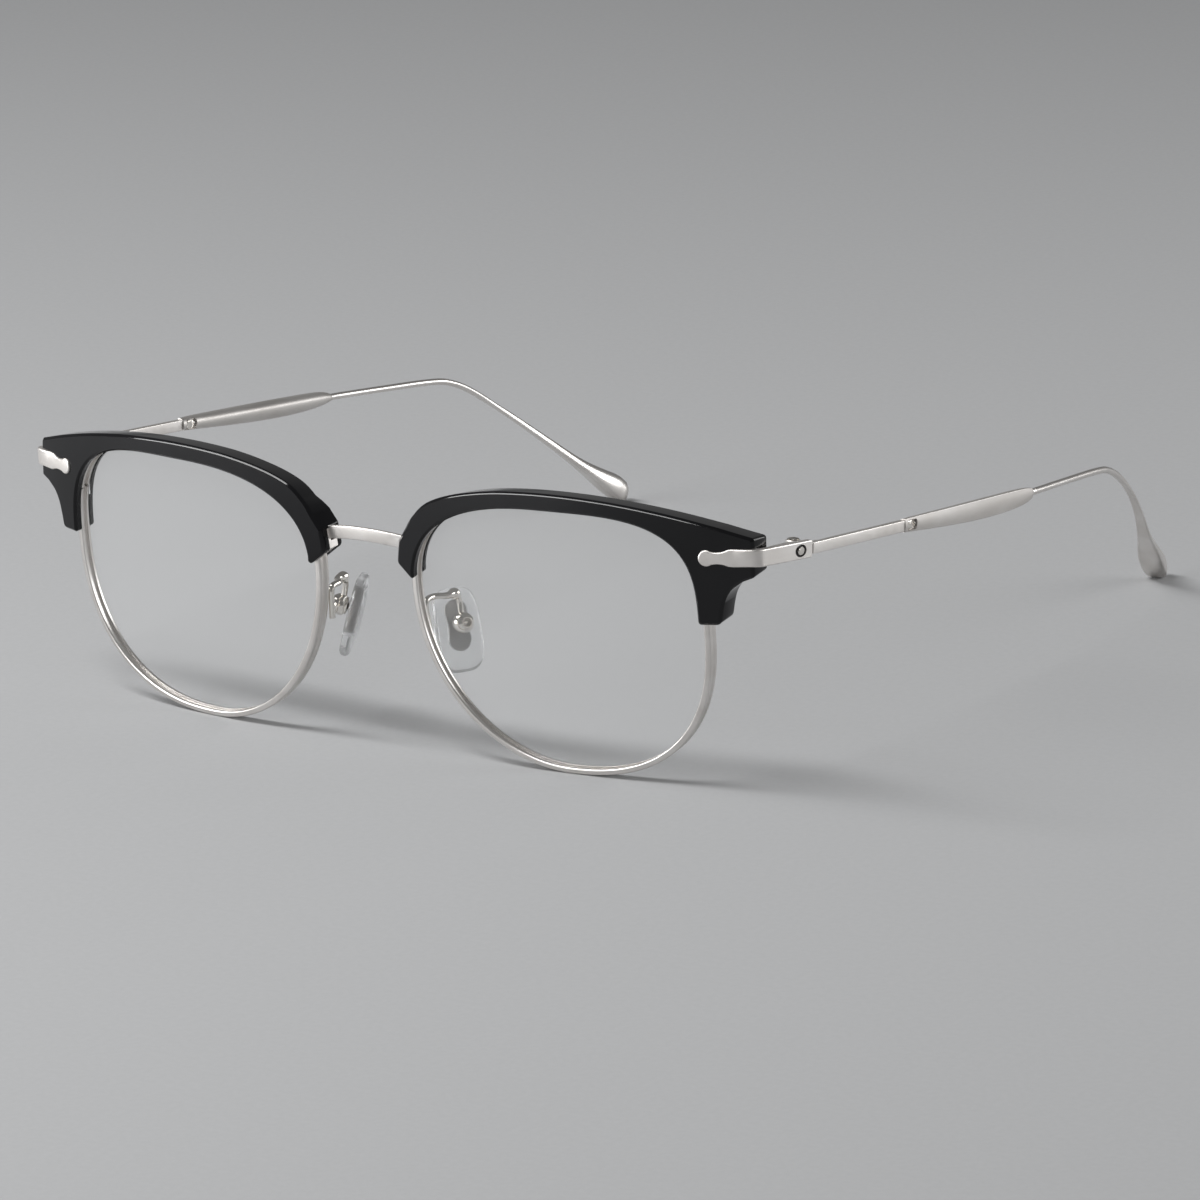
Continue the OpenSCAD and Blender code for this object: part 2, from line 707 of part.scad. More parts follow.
lock_y = depth_at(lock_u + lock_w / 2, lock_v, rim_d / 2);
module rim_lock_screw(side) {
    color(bright_metal) half(side) lens_frame()
        translate([lock_u + lock_w / 2, lock_y, 0]) {
            upright(lock_screw_r - seat, lock_v - lock_h / 2 + 0.3, lock_v + lock_h / 2 + seat);
            difference() {
                upright(lock_w * 0.4, lock_v + lock_h / 2 + seat, lock_v + lock_h / 2 + 0.5);
                translate([-lock_w, -0.12, lock_v + lock_h / 2 + 0.3]) cube([2 * lock_w, 0.24, 1]);
            }
        }
}

// The brow: a moulded bar, channelled for the rim, the bridge's foot, the strap and the lock
boss_r = 0.95;
brow_screw_r = 0.45;
brow_screw_head_r = 1.05;
lobe_depth = depth_at(lobe_u, strap_v, -brow_front + strap_inset);
brow_back_depth = depth_at(lobe_u, strap_v, brow_rear);
lock_room = 0.1;
module brow(side) {
    color(black) half(side) lens_frame()
        difference() {
            intersection() {
                pane(brow_outline, -brow_front, brow_rear);
                leaning(brow_blank);
            }
            through(grown(eye, -lip_cover));
            pane(grown(eye, rim_w + seat), -rim_proud - seat, rim_rear + seat);
            pane(
                [
                    [nose_u - nose_w - 3, eye_top - nose_drop - 3],
                    [nose_u + 2, eye_top - nose_drop - 3],
                    [nose_u + 2, eye_top - nose_drop + slot_h],
                    [nose_u - nose_w - 3, eye_top - nose_drop + slot_h]
                ],
                -rim_proud - seat, rim_rear + seat
            );
            pane(strap_outline(seat), -brow_front - 1, -brow_front + strap_inset + seat);
            pane(
                [
                    [side_u, lock_v - lock_h / 2 - lock_room],
                    [lock_u + lock_w + lock_room, lock_v - lock_h / 2 - lock_room],
                    [lock_u + lock_w + lock_room, lock_v + lock_h / 2 + 0.6],
                    [side_u - 2, lock_v + lock_h / 2 + 0.6]
                ],
                -rim_proud - seat, brow_rear + 1
            );
            translate([lobe_u, 0, strap_v]) rotate([-90, 0, 0]) {
                upright(boss_r + seat, lobe_depth - 1, brow_back_depth - 0.9);
                upright(brow_screw_head_r + seat, brow_back_depth - 0.9, cut_back);
            }
        }
}

// The screw that holds a brow against the strap, from behind
module brow_screw(side) {
    color(bright_metal) half(side) lens_frame()
        translate([lobe_u, 0, strap_v]) rotate([-90, 0, 0])
            difference() {
                union() {
                    upright(brow_screw_r, lobe_depth - 0.2, brow_back_depth - 0.5);
                    upright(brow_screw_head_r - seat, brow_back_depth - 0.9 + seat, brow_back_depth - 0.2);
                }
                translate([-2, -0.12, brow_back_depth - 0.45]) cube([4, 0.24, 1]);
            }
}

// The bridge: an arched strap whose two feet are brazed to the rims inside the brows
bridge_v = eye_top - bridge_drop;
foot_u = nose_edge(bridge_v) - rim_w - foot_w / 2;
foot_mid = on_front([foot_u, depth_at(foot_u, bridge_v, rim_d / 2 - rim_proud), bridge_v]);
bridge_end = foot_mid[0];
function arch(x, z) = z + bridge_rise * (1 - pow(x / bridge_end, 2));
foot_low = eye_top - nose_drop + 0.7;
foot_line = [for (p = grown(eye, rim_w + seat)) if (p[0] < 0 && p[1] > foot_low && p[1] < foot_low + foot_h) p];
foot_outline = concat(
    foot_line,
    [for (i = [len(foot_line) - 1:-1:0]) foot_line[i] - [foot_w, 0]]
);
module bridge() {
    color(metal) union() {
        for (side = [left, right])
            half(side) lens_frame()
                pane(foot_outline, 0, rim_rear - 0.1);
        translate([0, foot_mid[1] - mid_y + bridge_t / 2, foot_mid[2]])
            rotate([90, 0, 0])
                linear_extrude(bridge_t)
                    polygon(concat(
                        [for (i = [-8:8]) [bridge_end * i / 8, arch(bridge_end * i / 8, -bridge_h / 2)]],
                        [for (i = [8:-1:-8]) [bridge_end * i / 8, arch(bridge_end * i / 8, bridge_h / 2)]]
                    ));
    }
}

// The end strap: let into the brow's front, bent round its end and run back to the hinge
leaf_h = strap_h - 0.3;
module end_strap(side) {
    color(metal) half(side)
        difference() {
            union() {
                lens_frame() {
                    pane(strap_front_outline, strap_front, -brow_front + strap_inset);
                    translate([lobe_u, 0, strap_v]) rotate([-90, 0, 0])
                        upright(boss_r, lobe_depth - 0.2, lobe_depth + 1.2);
                }
                translate([0, brow_side[1], brow_side[2]])
                    rotate([-temple_slope, 0, 0])
                        translate([0, -brow_side[1], -strap_h / 2])
                            linear_extrude(strap_h)
                                polygon(strap_plan);
                temple_frame() front_hinge();
            }
            lens_frame()
                translate([lobe_u, 0, strap_v]) rotate([-90, 0, 0])
                    upright(brow_screw_r + 0.01, lobe_depth - 0.25, cut_back);
            temple_frame() {
                translate([0, hinge_set - disc_back, 0]) level(disc_recess_r, hinge_in - 0.6, hinge_in + 2);
                upright(knuckle_r + 0.15, -half_knuckle - hinge_gap, half_knuckle + hinge_gap);
            }
        }
}
strap_front_outline = [for (p = strap_outline(0)) [min(p[0], brow_end - 0.4), p[1]]];

// The front's half of the hinge: a leaf on the strap and two knuckles
module front_hinge() {
    difference() {
        union() {
            upright(knuckle_r, -half_hinge, half_hinge);
            translate([0, -leaf_back, -leaf_h / 2])
                cube([bar_in + 0.1, leaf_back, leaf_h]);
        }
        upright(hinge_screw_r + hinge_gap, half_knuckle, half_hinge + 1);
        upright(hinge_screw_r + 0.01, -half_hinge - 1, half_knuckle);
    }
}

module hinge_screw(side) {
    color(bright_metal) half(side) temple_frame()
        difference() {
            union() {
                upright(hinge_screw_r, -half_hinge + 0.1, half_hinge + 0.1);
                upright(screw_head_r, half_hinge + seat, half_hinge + screw_head_h);
            }
            translate([-2, -0.15, half_hinge + screw_head_h - 0.3]) cube([4, 0.3, 1]);
        }
}

// The plain disc in its recess on the strap's side
module side_disc(side) {
    color(bright_metal) half(side) temple_frame()
        translate([0, hinge_set - disc_back, 0])
            union() {
                level(disc_r, disc_floor, disc_floor + 0.45);
                level(disc_r - 0.15, disc_floor + 0.4, disc_floor + 0.52);
            }
}
disc_floor = hinge_in - 0.6 + seat;

// The temple bar, with its half of the hinge at the front and a tenon that enters the sleeve
tenon_step = 0.12;
module temple_bar(side) {
    color(metal) half(side) temple_frame()
        difference() {
            union() {
                translate([bar_in, bar_front, -bar_h / 2])
                    cube([bar_t, sleeve_at - seat - bar_front, bar_h]);
                translate([bar_in + tenon_step, sleeve_at - 1, -bar_h / 2 + tenon_step])
                    cube([bar_t - 2 * tenon_step, window_at + 1, bar_h - 2 * tenon_step]);
                translate([bar_in - leaf_t + 0.1, bar_front, -bar_h / 2])
                    cube([leaf_t, leaf_back - bar_front, bar_h]);
                translate([0, 0, -half_knuckle])
                    linear_extrude(knuckle_h)
                        polygon([
                            [-0.7, 0],
                            [knuckle_r - 0.1, 0],
                            [knuckle_r - 0.1, bar_front],
                            [bar_in + 0.1, bar_front],
                            [bar_in + 0.1, leaf_back],
                            [bar_in - leaf_t + 0.1, leaf_back]
                        ]);
                upright(knuckle_r, -half_knuckle, half_knuckle);
            }
            upright(hinge_screw_r + hinge_gap, -2, 2);
        }
}

// The sleeve, with a socket for the bar, a bore for the ear wire and a window between the two
module temple_sleeve(side) {
    color(metal) half(side) temple_frame()
        difference() {
            skin([for (t = sleeve_stops) sleeve_ring(t)]);
            translate([bar_in + tenon_step - seat, sleeve_at - 1, -bar_h / 2 + tenon_step - seat])
                cube([bar_t - 2 * (tenon_step - seat), window_at + 2, bar_h - 2 * (tenon_step - seat)]);
            translate([-5, sleeve_at + window_at, 0]) rotate([90, 0, 90])
                linear_extrude(20)
                    polygon(rounded(
                        [[0, -window_h / 2], [window_l, -window_h / 2], [window_l, window_h / 2], [0, window_h / 2]],
                        0.45
                    ));
            translate([sleeve_mid(wire_front), wire_front, 0])
                rotate([-90, 0, sleeve_turn])
                    upright(wire_r + seat, -1, sleeve_l + 1);
        }
}

// The key on the ear wire's end, which shows in the sleeve's window
key_l = window_l - 1;
module sleeve_key(side) {
    color(bright_metal) half(side) temple_frame()
        translate([bar_mid - 0.6, sleeve_at + window_at + window_l - 0.5 - seat - key_l, -window_h / 2 + seat])
            cube([1.2, key_l, window_h - 2 * seat]);
}

module ear_wire(side) {
    color(metal) half(side) temple_frame()
        skin(ear_rings);
}

// The pad arm: one wire, brazed up the rim's back, looped, and seated in the pad box
module pad_arm(side) {
    color(bright_metal) half(side)
        tube(arm_way, 3, arm_r, arm_sides);
}

// The pad box: a round cup with a socket for the pad's ball and a hole for its screw
socket_gap = 0.12;
pad_screw_r = 0.45;
arm_end = arm_way[len(arm_way) - 1];
arm_end_way = unit(arm_end - arm_way[len(arm_way) - 2]);
module pad_box_cup(side) {
    color(bright_metal) half(side)
        difference() {
            pad_frame()
                difference() {
                    union() {
                        level(box_r, -1, 0.9);
                        level(box_r * 0.8, 0.8, 1.35);
                    }
                    level(ball_r + socket_gap, -2, ball_r + socket_gap);
                    level(pad_screw_r + 0.02, 0, 3);
                }
            translate(arm_end)
                rotate([0, acos(-arm_end_way[2]), atan2(-arm_end_way[1], -arm_end_way[0])])
                    upright(arm_r + seat, -seat, 3);
        }
}

module pad_screw(side) {
    color(bright_metal) half(side) pad_frame()
        difference() {
            level(pad_screw_r, ball_r + 2 * socket_gap, 1.3);
            translate([1.1, -1, -0.1]) cube([1, 2, 0.2]);
        }
}

// The metal plate inside a pad, with its stud and ball
module pad_plate(side) {
    color(metal) half(side) pad_frame()
        union() {
            for (z = [pad_h / 4 - 1, -pad_h / 4 + 0.4])
                translate([0, 0, z - pad_low]) level(plate_r, -pad_set - plate_t / 2, -pad_set + plate_t / 2);
            translate([-pad_set - plate_t / 2, -plate_r + 0.4, -pad_h / 4 - pad_low + 0.4])
                cube([plate_t, 2 * plate_r - 0.8, pad_h / 2 - 1.4]);
            level(stud_r, -pad_set, 0);
            sphere(ball_r, $fn = round_fn);
        }
}
stud_r = 0.5;

// A clear pad, moulded round its plate
module nose_pad(side) {
    color([0.95, 0.97, 1, 0.4]) half(side) pad_frame()
        difference() {
            skin([
                for (t = [-1, -0.8, -0.45, 0.45, 0.8, 1])
                    pad_ring(-pad_set + t * pad_t / 2, pow(abs(t), 3) * pad_t * 0.45)
            ]);
            for (z = [pad_h / 4 - 1, -pad_h / 4 + 0.4])
                translate([0, 0, z - pad_low])
                    level(plate_r + seat, -pad_set - plate_t / 2 - seat, -pad_set + plate_t / 2 + seat);
            translate([-pad_set - plate_t / 2 - seat, -plate_r + 0.4 - seat, -pad_h / 4 - pad_low + 0.4])
                cube([plate_t + 2 * seat, 2 * (plate_r - 0.4 + seat), pad_h / 2 - 1.4]);
            level(stud_r + seat, -pad_set, 0);
        }
}

eyewire(left);  // eyewire_left
eyewire(right);  // eyewire_right
lens(left);  // lens_left
lens(right);  // lens_right
brow(left);  // brow_left
brow(right);  // brow_right
bridge();
end_strap(left);  // end_strap_left
end_strap(right);  // end_strap_right
side_disc(left);  // side_disc_left
side_disc(right);  // side_disc_right
rim_lock(left);  // rim_lock_left
rim_lock(right);  // rim_lock_right
rim_lock_screw(left);  // rim_lock_screw_left
rim_lock_screw(right);  // rim_lock_screw_right
brow_screw(left);  // brow_screw_left
brow_screw(right);  // brow_screw_right
hinge_screw(left);  // hinge_screw_left
hinge_screw(right);  // hinge_screw_right
pad_arm(left);  // pad_arm_left
pad_arm(right);  // pad_arm_right
pad_box_cup(left);  // pad_box_left
pad_box_cup(right);  // pad_box_right
pad_screw(left);  // pad_screw_left
pad_screw(right);  // pad_screw_right
pad_plate(left);  // pad_plate_left
pad_plate(right);  // pad_plate_right
nose_pad(left);  // nose_pad_left
nose_pad(right);  // nose_pad_right
temple_bar(left);  // temple_bar_left
temple_bar(right);  // temple_bar_right
temple_sleeve(left);  // temple_sleeve_left
temple_sleeve(right);  // temple_sleeve_right
sleeve_key(left);  // sleeve_key_left
sleeve_key(right);  // sleeve_key_right
ear_wire(left);  // ear_wire_left
ear_wire(right);  // ear_wire_right
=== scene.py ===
# %% [markdown]
# # Browline spectacles
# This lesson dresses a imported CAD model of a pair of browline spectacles: black brow bars over
# metal rims, an arched bridge, nose pads on wire arms, and temples that end in swaged drops.
# The CAD model keeps the sizes and the joints. Here each piece gets its real edges, its
# polish and its light. Sizes are in millimetres until the last moment, because that is how a
# spectacle maker thinks of them.

# %% Load the frame
import json
import math

import bmesh
import bpy
import numpy as np
from mathutils import Matrix, Vector, geometry


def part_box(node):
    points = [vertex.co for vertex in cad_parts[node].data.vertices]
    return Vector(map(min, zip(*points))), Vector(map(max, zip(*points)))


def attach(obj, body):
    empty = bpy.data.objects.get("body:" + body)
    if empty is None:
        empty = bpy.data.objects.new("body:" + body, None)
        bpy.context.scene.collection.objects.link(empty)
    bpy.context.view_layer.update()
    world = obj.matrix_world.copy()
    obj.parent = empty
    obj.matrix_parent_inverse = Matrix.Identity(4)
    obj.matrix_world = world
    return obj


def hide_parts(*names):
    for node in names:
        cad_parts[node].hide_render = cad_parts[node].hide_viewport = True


MM = 0.001
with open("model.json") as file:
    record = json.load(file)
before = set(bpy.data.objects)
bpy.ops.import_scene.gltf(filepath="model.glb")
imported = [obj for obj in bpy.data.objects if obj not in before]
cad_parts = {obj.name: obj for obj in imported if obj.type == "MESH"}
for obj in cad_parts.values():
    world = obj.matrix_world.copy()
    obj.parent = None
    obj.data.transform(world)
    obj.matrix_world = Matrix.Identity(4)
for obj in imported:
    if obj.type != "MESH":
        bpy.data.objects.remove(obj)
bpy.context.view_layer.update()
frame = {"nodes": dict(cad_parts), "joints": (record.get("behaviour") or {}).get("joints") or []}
joints = {joint["name"]: joint for joint in frame["joints"]}

# %% [markdown]
# ## The camera
# The photograph was taken from the wearer's left front, a little above, with a long lens that
# keeps the far lens nearly as big as the near one. The camera comes first, so that each piece
# can be judged from where it will be seen. Its place was worked out from pairs of matching left
# and right points, and the values below are what came out.

# %% Camera
AZIMUTH = 35.7607
ELEVATION = 15.1738
ROLL = -2.2124
DISTANCE = 1365.35
AIM_ACROSS = 33.766
AIM_UP = 22.954
FOCAL_PIXELS = 8752.6
PICTURE_PIXELS = 1200
SENSOR = 36
NEAREST, FARTHEST = 0.1, 20


def camera_axes():
    azimuth, elevation, roll = (math.radians(a) for a in (AZIMUTH, ELEVATION, ROLL))
    back = Vector((
        math.sin(azimuth) * math.cos(elevation),
        -math.cos(azimuth) * math.cos(elevation),
        math.sin(elevation),
    ))
    level = Vector((math.cos(azimuth), math.sin(azimuth), 0))
    upright = back.cross(level)
    across = level * math.cos(roll) + upright * math.sin(roll)
    up = upright * math.cos(roll) - level * math.sin(roll)
    return across, up, back


# %% [markdown]
# ## The maker's sizes
# A lens has a frame of its own: u runs away from the nose, d runs back from the front of the
# lens, and v runs up from the lowest point of the rim. Both lenses lean a little and turn back
# towards the temples. The sizes repeat those of the CAD source, so that every new piece lands
# exactly on the solid that it stands for.

# %% Sizes of the lenses and rims
EYE_W, EYE_H = 50.4, 42.6
WAIST_SIDE, WAIST_NOSE = 24.9, 27.4
SQUARE = {"top_side": 3.25, "top_nose": 2.4, "low_side": 2.4, "low_nose": 2.0}
BRIDGE_GAP = 20
BASE_R = 120
TILT, WRAP = math.radians(5.7), math.radians(5.5)
LENS_T = 1.6
BEVEL_T, BEVEL_H = 0.8, 0.4
RIM_W, RIM_D, RIM_PROUD = 1.0, 2.0, 0.2
SEAT = 0.03
EYE_TOP = RIM_W + EYE_H
LENS_MID = RIM_W + EYE_H / 2
LENS_X = (BRIDGE_GAP + EYE_W) / 2
NOSE_U, SIDE_U = -EYE_W / 2, EYE_W / 2
RIM_REAR = RIM_D - RIM_PROUD
print("lens opening:", EYE_W, "by", EYE_H, "mm, with", BRIDGE_GAP, "mm between the two")

# %% The opening and the curve of the lens
FINE = 7200


def eye_outline(count):
    """The opening in a rim: four quarters of superellipses that meet at its widest points."""
    angle = np.arange(count) * 2 * math.pi / count
    c, s = np.cos(angle), np.sin(angle)
    side = np.where(c >= 0, "side", "nose")
    level = np.where(s >= 0, "top_", "low_")
    power = 2 / np.array([SQUARE[a + b] for a, b in zip(level, side)])
    waist = np.where(c >= 0, WAIST_SIDE, WAIST_NOSE)
    rise = np.where(s >= 0, EYE_H - waist, waist)
    u = np.sign(c) * SIDE_U * np.abs(c) ** power
    v = RIM_W + waist + np.sign(s) * rise * np.abs(s) ** power
    return np.stack([u, v], 1)


def depth_at(u, v, d):
    """Depth of a surface that lies d behind the front of the lens."""
    return BASE_R - np.sqrt((BASE_R - d) ** 2 - u ** 2 - (v - LENS_MID) ** 2)


def leaned(u, y, v):
    """A point of the lens's frame, turned and tilted into the whole front."""
    x = LENS_X + u * math.cos(WRAP) - y * math.sin(WRAP)
    back = u * math.sin(WRAP) + y * math.cos(WRAP)
    return np.stack([
        x,
        back * math.cos(TILT) - v * math.sin(TILT),
        back * math.sin(TILT) + v * math.cos(TILT),
    ], -1)


# %% [markdown]
# ## Outlines
# A spectacle maker draws a part flat before cutting it. The helpers here do the same with rows
# of points: they measure a line, space its points evenly, move an outline in or out, round its
# corners and run a smooth curve through chosen points. Curve objects could do some of this, but
# rows of numbers are easy to check, and an offset of an offset stays exact.

# %% Lines with even points
def along(points):
    """Distance from the first point to each point of an open row."""
    steps = np.linalg.norm(np.diff(points, axis=0), axis=1)
    return np.concatenate([[0], np.cumsum(steps)])


def evenly(points, count, closed=True):
    """The same line with points at equal distances."""
    line = np.vstack([points, points[:1]]) if closed else np.asarray(points)
    at = along(line)
    wanted = np.linspace(0, at[-1], count + 1 if closed else count)
    if closed:
        wanted = wanted[:-1]
    return np.stack([np.interp(wanted, at, line[:, k]) for k in range(line.shape[1])], 1)


def finer(points, longest):
    """A closed outline whose long edges are divided."""
    out = []
    for a, b in zip(points, np.roll(points, -1, axis=0)):
        parts = max(1, math.ceil(np.linalg.norm(b - a) / longest))
        out.extend(a + (b - a) * k / parts for k in range(parts))
    return np.array(out)


# %% An outline moved in or out
def area(points):
    """An outline's area, positive where it runs anticlockwise."""
    x, y = points[:, 0], points[:, 1]
    return float(np.sum(x * np.roll(y, -1) - y * np.roll(x, -1)) / 2)


def outward(points):
    """Outward directions at the points of a closed outline, longer at corners."""
    ahead = np.roll(points, -1, axis=0) - points
    ahead /= np.linalg.norm(ahead, axis=1)[:, None]
    behind = np.roll(ahead, 1, axis=0)
    n = np.stack([ahead[:, 1] + behind[:, 1], -ahead[:, 0] - behind[:, 0]], 1)
    n /= np.linalg.norm(n, axis=1)[:, None]
    reach = np.maximum(n[:, 0] * ahead[:, 1] - n[:, 1] * ahead[:, 0], 0.5)
    return np.sign(area(points)) * n / reach[:, None]


def grown(points, d):
    """An outline moved outwards by a distance, or inwards by a negative one."""
    return points + outward(points) * d


# %% Rounded corners
def corner(a, p, b, radius, steps=6):
    """An arc that rounds the corner p between its neighbours a and b."""
    a, p, b = (np.asarray(q, float) for q in (a, p, b))
    to_a = (a - p) / np.linalg.norm(a - p)
    to_b = (b - p) / np.linalg.norm(b - p)
    half = math.acos(np.clip(to_a @ to_b, -1, 1)) / 2
    middle = p + (to_a + to_b) / np.linalg.norm(to_a + to_b) * radius / math.sin(half)
    start = p + to_a * radius / math.tan(half) - middle
    end = p + to_b * radius / math.tan(half) - middle
    turn = math.atan2(start[0] * end[1] - start[1] * end[0], start @ end)
    out = []
    for k in range(steps + 1):
        c, s = math.cos(turn * k / steps), math.sin(turn * k / steps)
        out.append(middle + [start[0] * c - start[1] * s, start[0] * s + start[1] * c])
    return out


def rounded(points, radius, steps=6):
    """A closed outline whose corners are rounded. The radius may differ from corner to corner."""
    n = len(points)
    radii = [radius] * n if np.isscalar(radius) else radius
    out = []
    for i in range(n):
        out.extend(corner(points[i - 1], points[i], points[(i + 1) % n], radii[i], steps))
    return np.array(out)


# %% Smooth curves
def smooth(points, steps):
    """A curve through a row of points, with a number of steps between each two."""
    p = np.asarray(points, float)
    last = len(p) - 1
    out = []
    for i in range(last):
        a, b, c, d = p[max(i - 1, 0)], p[i], p[i + 1], p[min(i + 2, last)]
        for k in range(steps):
            t = k / steps
            out.append(b + (c - a) * t / 2 + (2 * a - 5 * b + 4 * c - d) * t * t / 2
                       + (3 * b - a - 3 * c + d) * t ** 3 / 2)
    out.append(p[last])
    return np.array(out)


# %% [markdown]
# ## Where the pieces go
# The front has the lens's frame, and each temple has one on its hinge's axis. Both are tied to
# the CAD model: its rim's box gives the front its place, and its joints give the hinges and the
# balls of the pads theirs.

# %% The front's frame and the temple's frame
eye = evenly(eye_outline(FINE), 300)
rim_edge = grown(eye, RIM_W)
front_edge = leaned(rim_edge[:, 0], depth_at(rim_edge[:, 0], rim_edge[:, 1], -RIM_PROUD), rim_edge[:, 1])
rim_low = front_edge[:, 2].min()
mid_y = front_edge[:, 1].min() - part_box("eyewire_left")[0].y / MM


def on_front(u, d, v):
    """A point d behind the front of the lens, in the object's own frame, in mm."""
    return leaned(u, depth_at(u, v, d), v) - [0, mid_y, rim_low]


HINGE = np.array(joints["temple_left_fold"]["pos_m"]) / MM
SLOPE = math.atan2(joints["temple_left_fold"]["axis"][1], joints["temple_left_fold"]["axis"][2])
PAD_BALL = np.array(joints["pad_left_rock"]["pos_m"]) / MM


def on_temple(p):
    """A point of the temple's frame: out, back from the hinge, and up."""
    p = np.asarray(p, float)
    x, y, z = p[..., 0], p[..., 1], p[..., 2]
    c, s = math.cos(SLOPE), math.sin(SLOPE)
    return HINGE + np.stack([x, y * c + z * s, z * c - y * s], -1)


print("front's lowest point and middle:", round(float(rim_low), 3), round(float(mid_y), 3))

# %% [markdown]
# ## Solids
# Almost every piece of a pair of spectacles is either cut from sheet or drawn as wire. So two
# helpers make them all. A plate has an outline, two faces and rounded edges, and may be wrapped
# over a lens curve or round a corner. A loft joins rings of points into wire. Edge modifiers
# could round a cut block too, but they fail on thin curved rims, and here the radius of each
# edge is what catches the light, so it is given one by one.

# %% A closed surface
class Shape:
    """Points in mm and faces of one closed surface."""

    def __init__(self, points, faces):
        self.points = np.asarray(points, float)
        self.faces = [tuple(f) for f in faces]
        a = self.points[[f[0] for f in self.faces for _ in f[2:]]]
        b = self.points[[v for f in self.faces for v in f[1:-1]]]
        c = self.points[[v for f in self.faces for v in f[2:]]]
        if np.einsum("ij,ij->i", a, np.cross(b, c)).sum() < 0:
            self.faces = [f[::-1] for f in self.faces]


# %% Skins over rings of points
def ring_faces(rings, size):
    """Quads between rows of rings whose points are numbered one after the other."""
    out = []
    for i in range(rings - 1):
        for k in range(size):
            a, b = i * size + k, i * size + (k + 1) % size
            out.append((a, b, b + size, a + size))
    return out


def loft(rings, closed=False):
    """A skin over rings of points, with a fan of triangles at each end."""
    rings = np.asarray(rings, float)
    count, size = rings.shape[:2]
    faces = ring_faces(count, size)
    points = rings.reshape(-1, 3)
    if closed:
        first = [(count - 1) * size + k for k in range(size)]
        faces += [(first[k], first[(k + 1) % size], (k + 1) % size, k) for k in range(size)]
        return Shape(points, faces)
    ends = np.stack([rings[0].mean(0), rings[-1].mean(0)])
    points = np.vstack([points, ends])
    head, tail = count * size, count * size + 1
    last = (count - 1) * size
    for k in range(size):
        faces.append(((k + 1) % size, k, head))
        faces.append((last + k, last + (k + 1) % size, tail))
    return Shape(points, faces)


# %% The face of a plate
SMALLEST = 1e-12
WELD = 1e-7


def filled(outline, spacing):
    """Triangles that fill an outline, with inner points on a grid."""
    low, high = outline.min(0), outline.max(0)
    xs = np.arange(low[0] + spacing / 2, high[0], spacing)
    ys = np.arange(low[1] + spacing / 2, high[1], spacing)
    grid = np.stack(np.meshgrid(xs, ys), -1).reshape(-1, 2)
    ahead = np.roll(outline, -1, axis=0)
    inside = np.zeros(len(grid), bool)
    for a, b in zip(outline, ahead):
        crosses = (a[1] > grid[:, 1]) != (b[1] > grid[:, 1])
        rise = b[1] - a[1] if abs(b[1] - a[1]) > SMALLEST else SMALLEST
        inside ^= crosses & (grid[:, 0] < a[0] + (b[0] - a[0]) * (grid[:, 1] - a[1]) / rise)
    grid = grid[inside]
    if len(grid):
        far = np.linalg.norm(grid[:, None] - outline[None], axis=2).min(1) > spacing * 0.6
        grid = grid[far]
    points = [Vector(p) for p in np.vstack([outline, grid])]
    n = len(outline)
    edges = [(k, (k + 1) % n) for k in range(n)]
    out, _, faces, origin, _, _ = geometry.delaunay_2d_cdt(points, edges, [], 1, WELD)
    source = [first[0] if first else None for first in origin]
    if any(s is None for s in source):
        where = [tuple(round(c, 2) for c in p) for p, s in zip(out, source) if s is None]
        raise ValueError(f"an outline crosses itself at {where[:6]}")
    return np.array(points)[:, :2], [tuple(source[v] for v in f) for f in faces]


# %% Plates with rounded edges
def plate(outline, near, far, place, near_r=0.2, far_r=0.2, spacing=1.0, slant=None, arc=4, bevel=2.0):
    """A closed plate between two depths, put in place by a function of x, y and depth.

    Its near edge is round where bevel is 2, and comes closer to a flat bevel as it nears 1.
    """
    out = outward(outline)
    shift = np.zeros((len(outline), 2)) if slant is None else slant
    rings, depths = [], []
    for k in range(arc + 1):
        t = k / arc * math.pi / 2
        rings.append(near_r * (1 - math.sin(t) ** (2 / bevel)))
        depths.append(near + near_r * (1 - max(0.0, math.cos(t)) ** (2 / bevel)))
    for k in range(arc + 1):
        t = (1 - k / arc) * math.pi / 2
        rings.append(far_r * (1 - math.sin(t)))
        depths.append(far - far_r * (1 - math.cos(t)))
    flat = []
    for inset, depth in zip(rings, depths):
        loop = outline + shift * (depth - near) - out * inset
        flat.append(np.column_stack([loop, np.full(len(loop), depth)]))
    n = len(outline)
    faces = ring_faces(len(flat), n)
    points = list(np.vstack(flat))
    for ring, depth, turn in ((flat[0], near, False), (flat[-1], far, True)):
        face_points, triangles = filled(ring[:, :2], spacing)
        start = 0 if not turn else (len(flat) - 1) * n
        base = len(points) - n
        points.extend([p[0], p[1], depth] for p in face_points[n:])
        for f in triangles:
            f = tuple(start + v if v < n else base + v for v in f)
            faces.append(f if turn else f[::-1])
    points = np.array(points)
    return Shape(place(points[:, 0], points[:, 1], points[:, 2]), faces)


# %% Turned parts and wire
def turned(profile, place, sides=48):
    """A solid of revolution: rows of (along, radius) about an axis, put in place by a function."""
    angle = np.arange(sides) * 2 * math.pi / sides
    rings = [
        place(np.column_stack([np.full(sides, a), r * np.cos(angle), r * np.sin(angle)]))
        for a, r in profile
    ]
    return loft(rings)


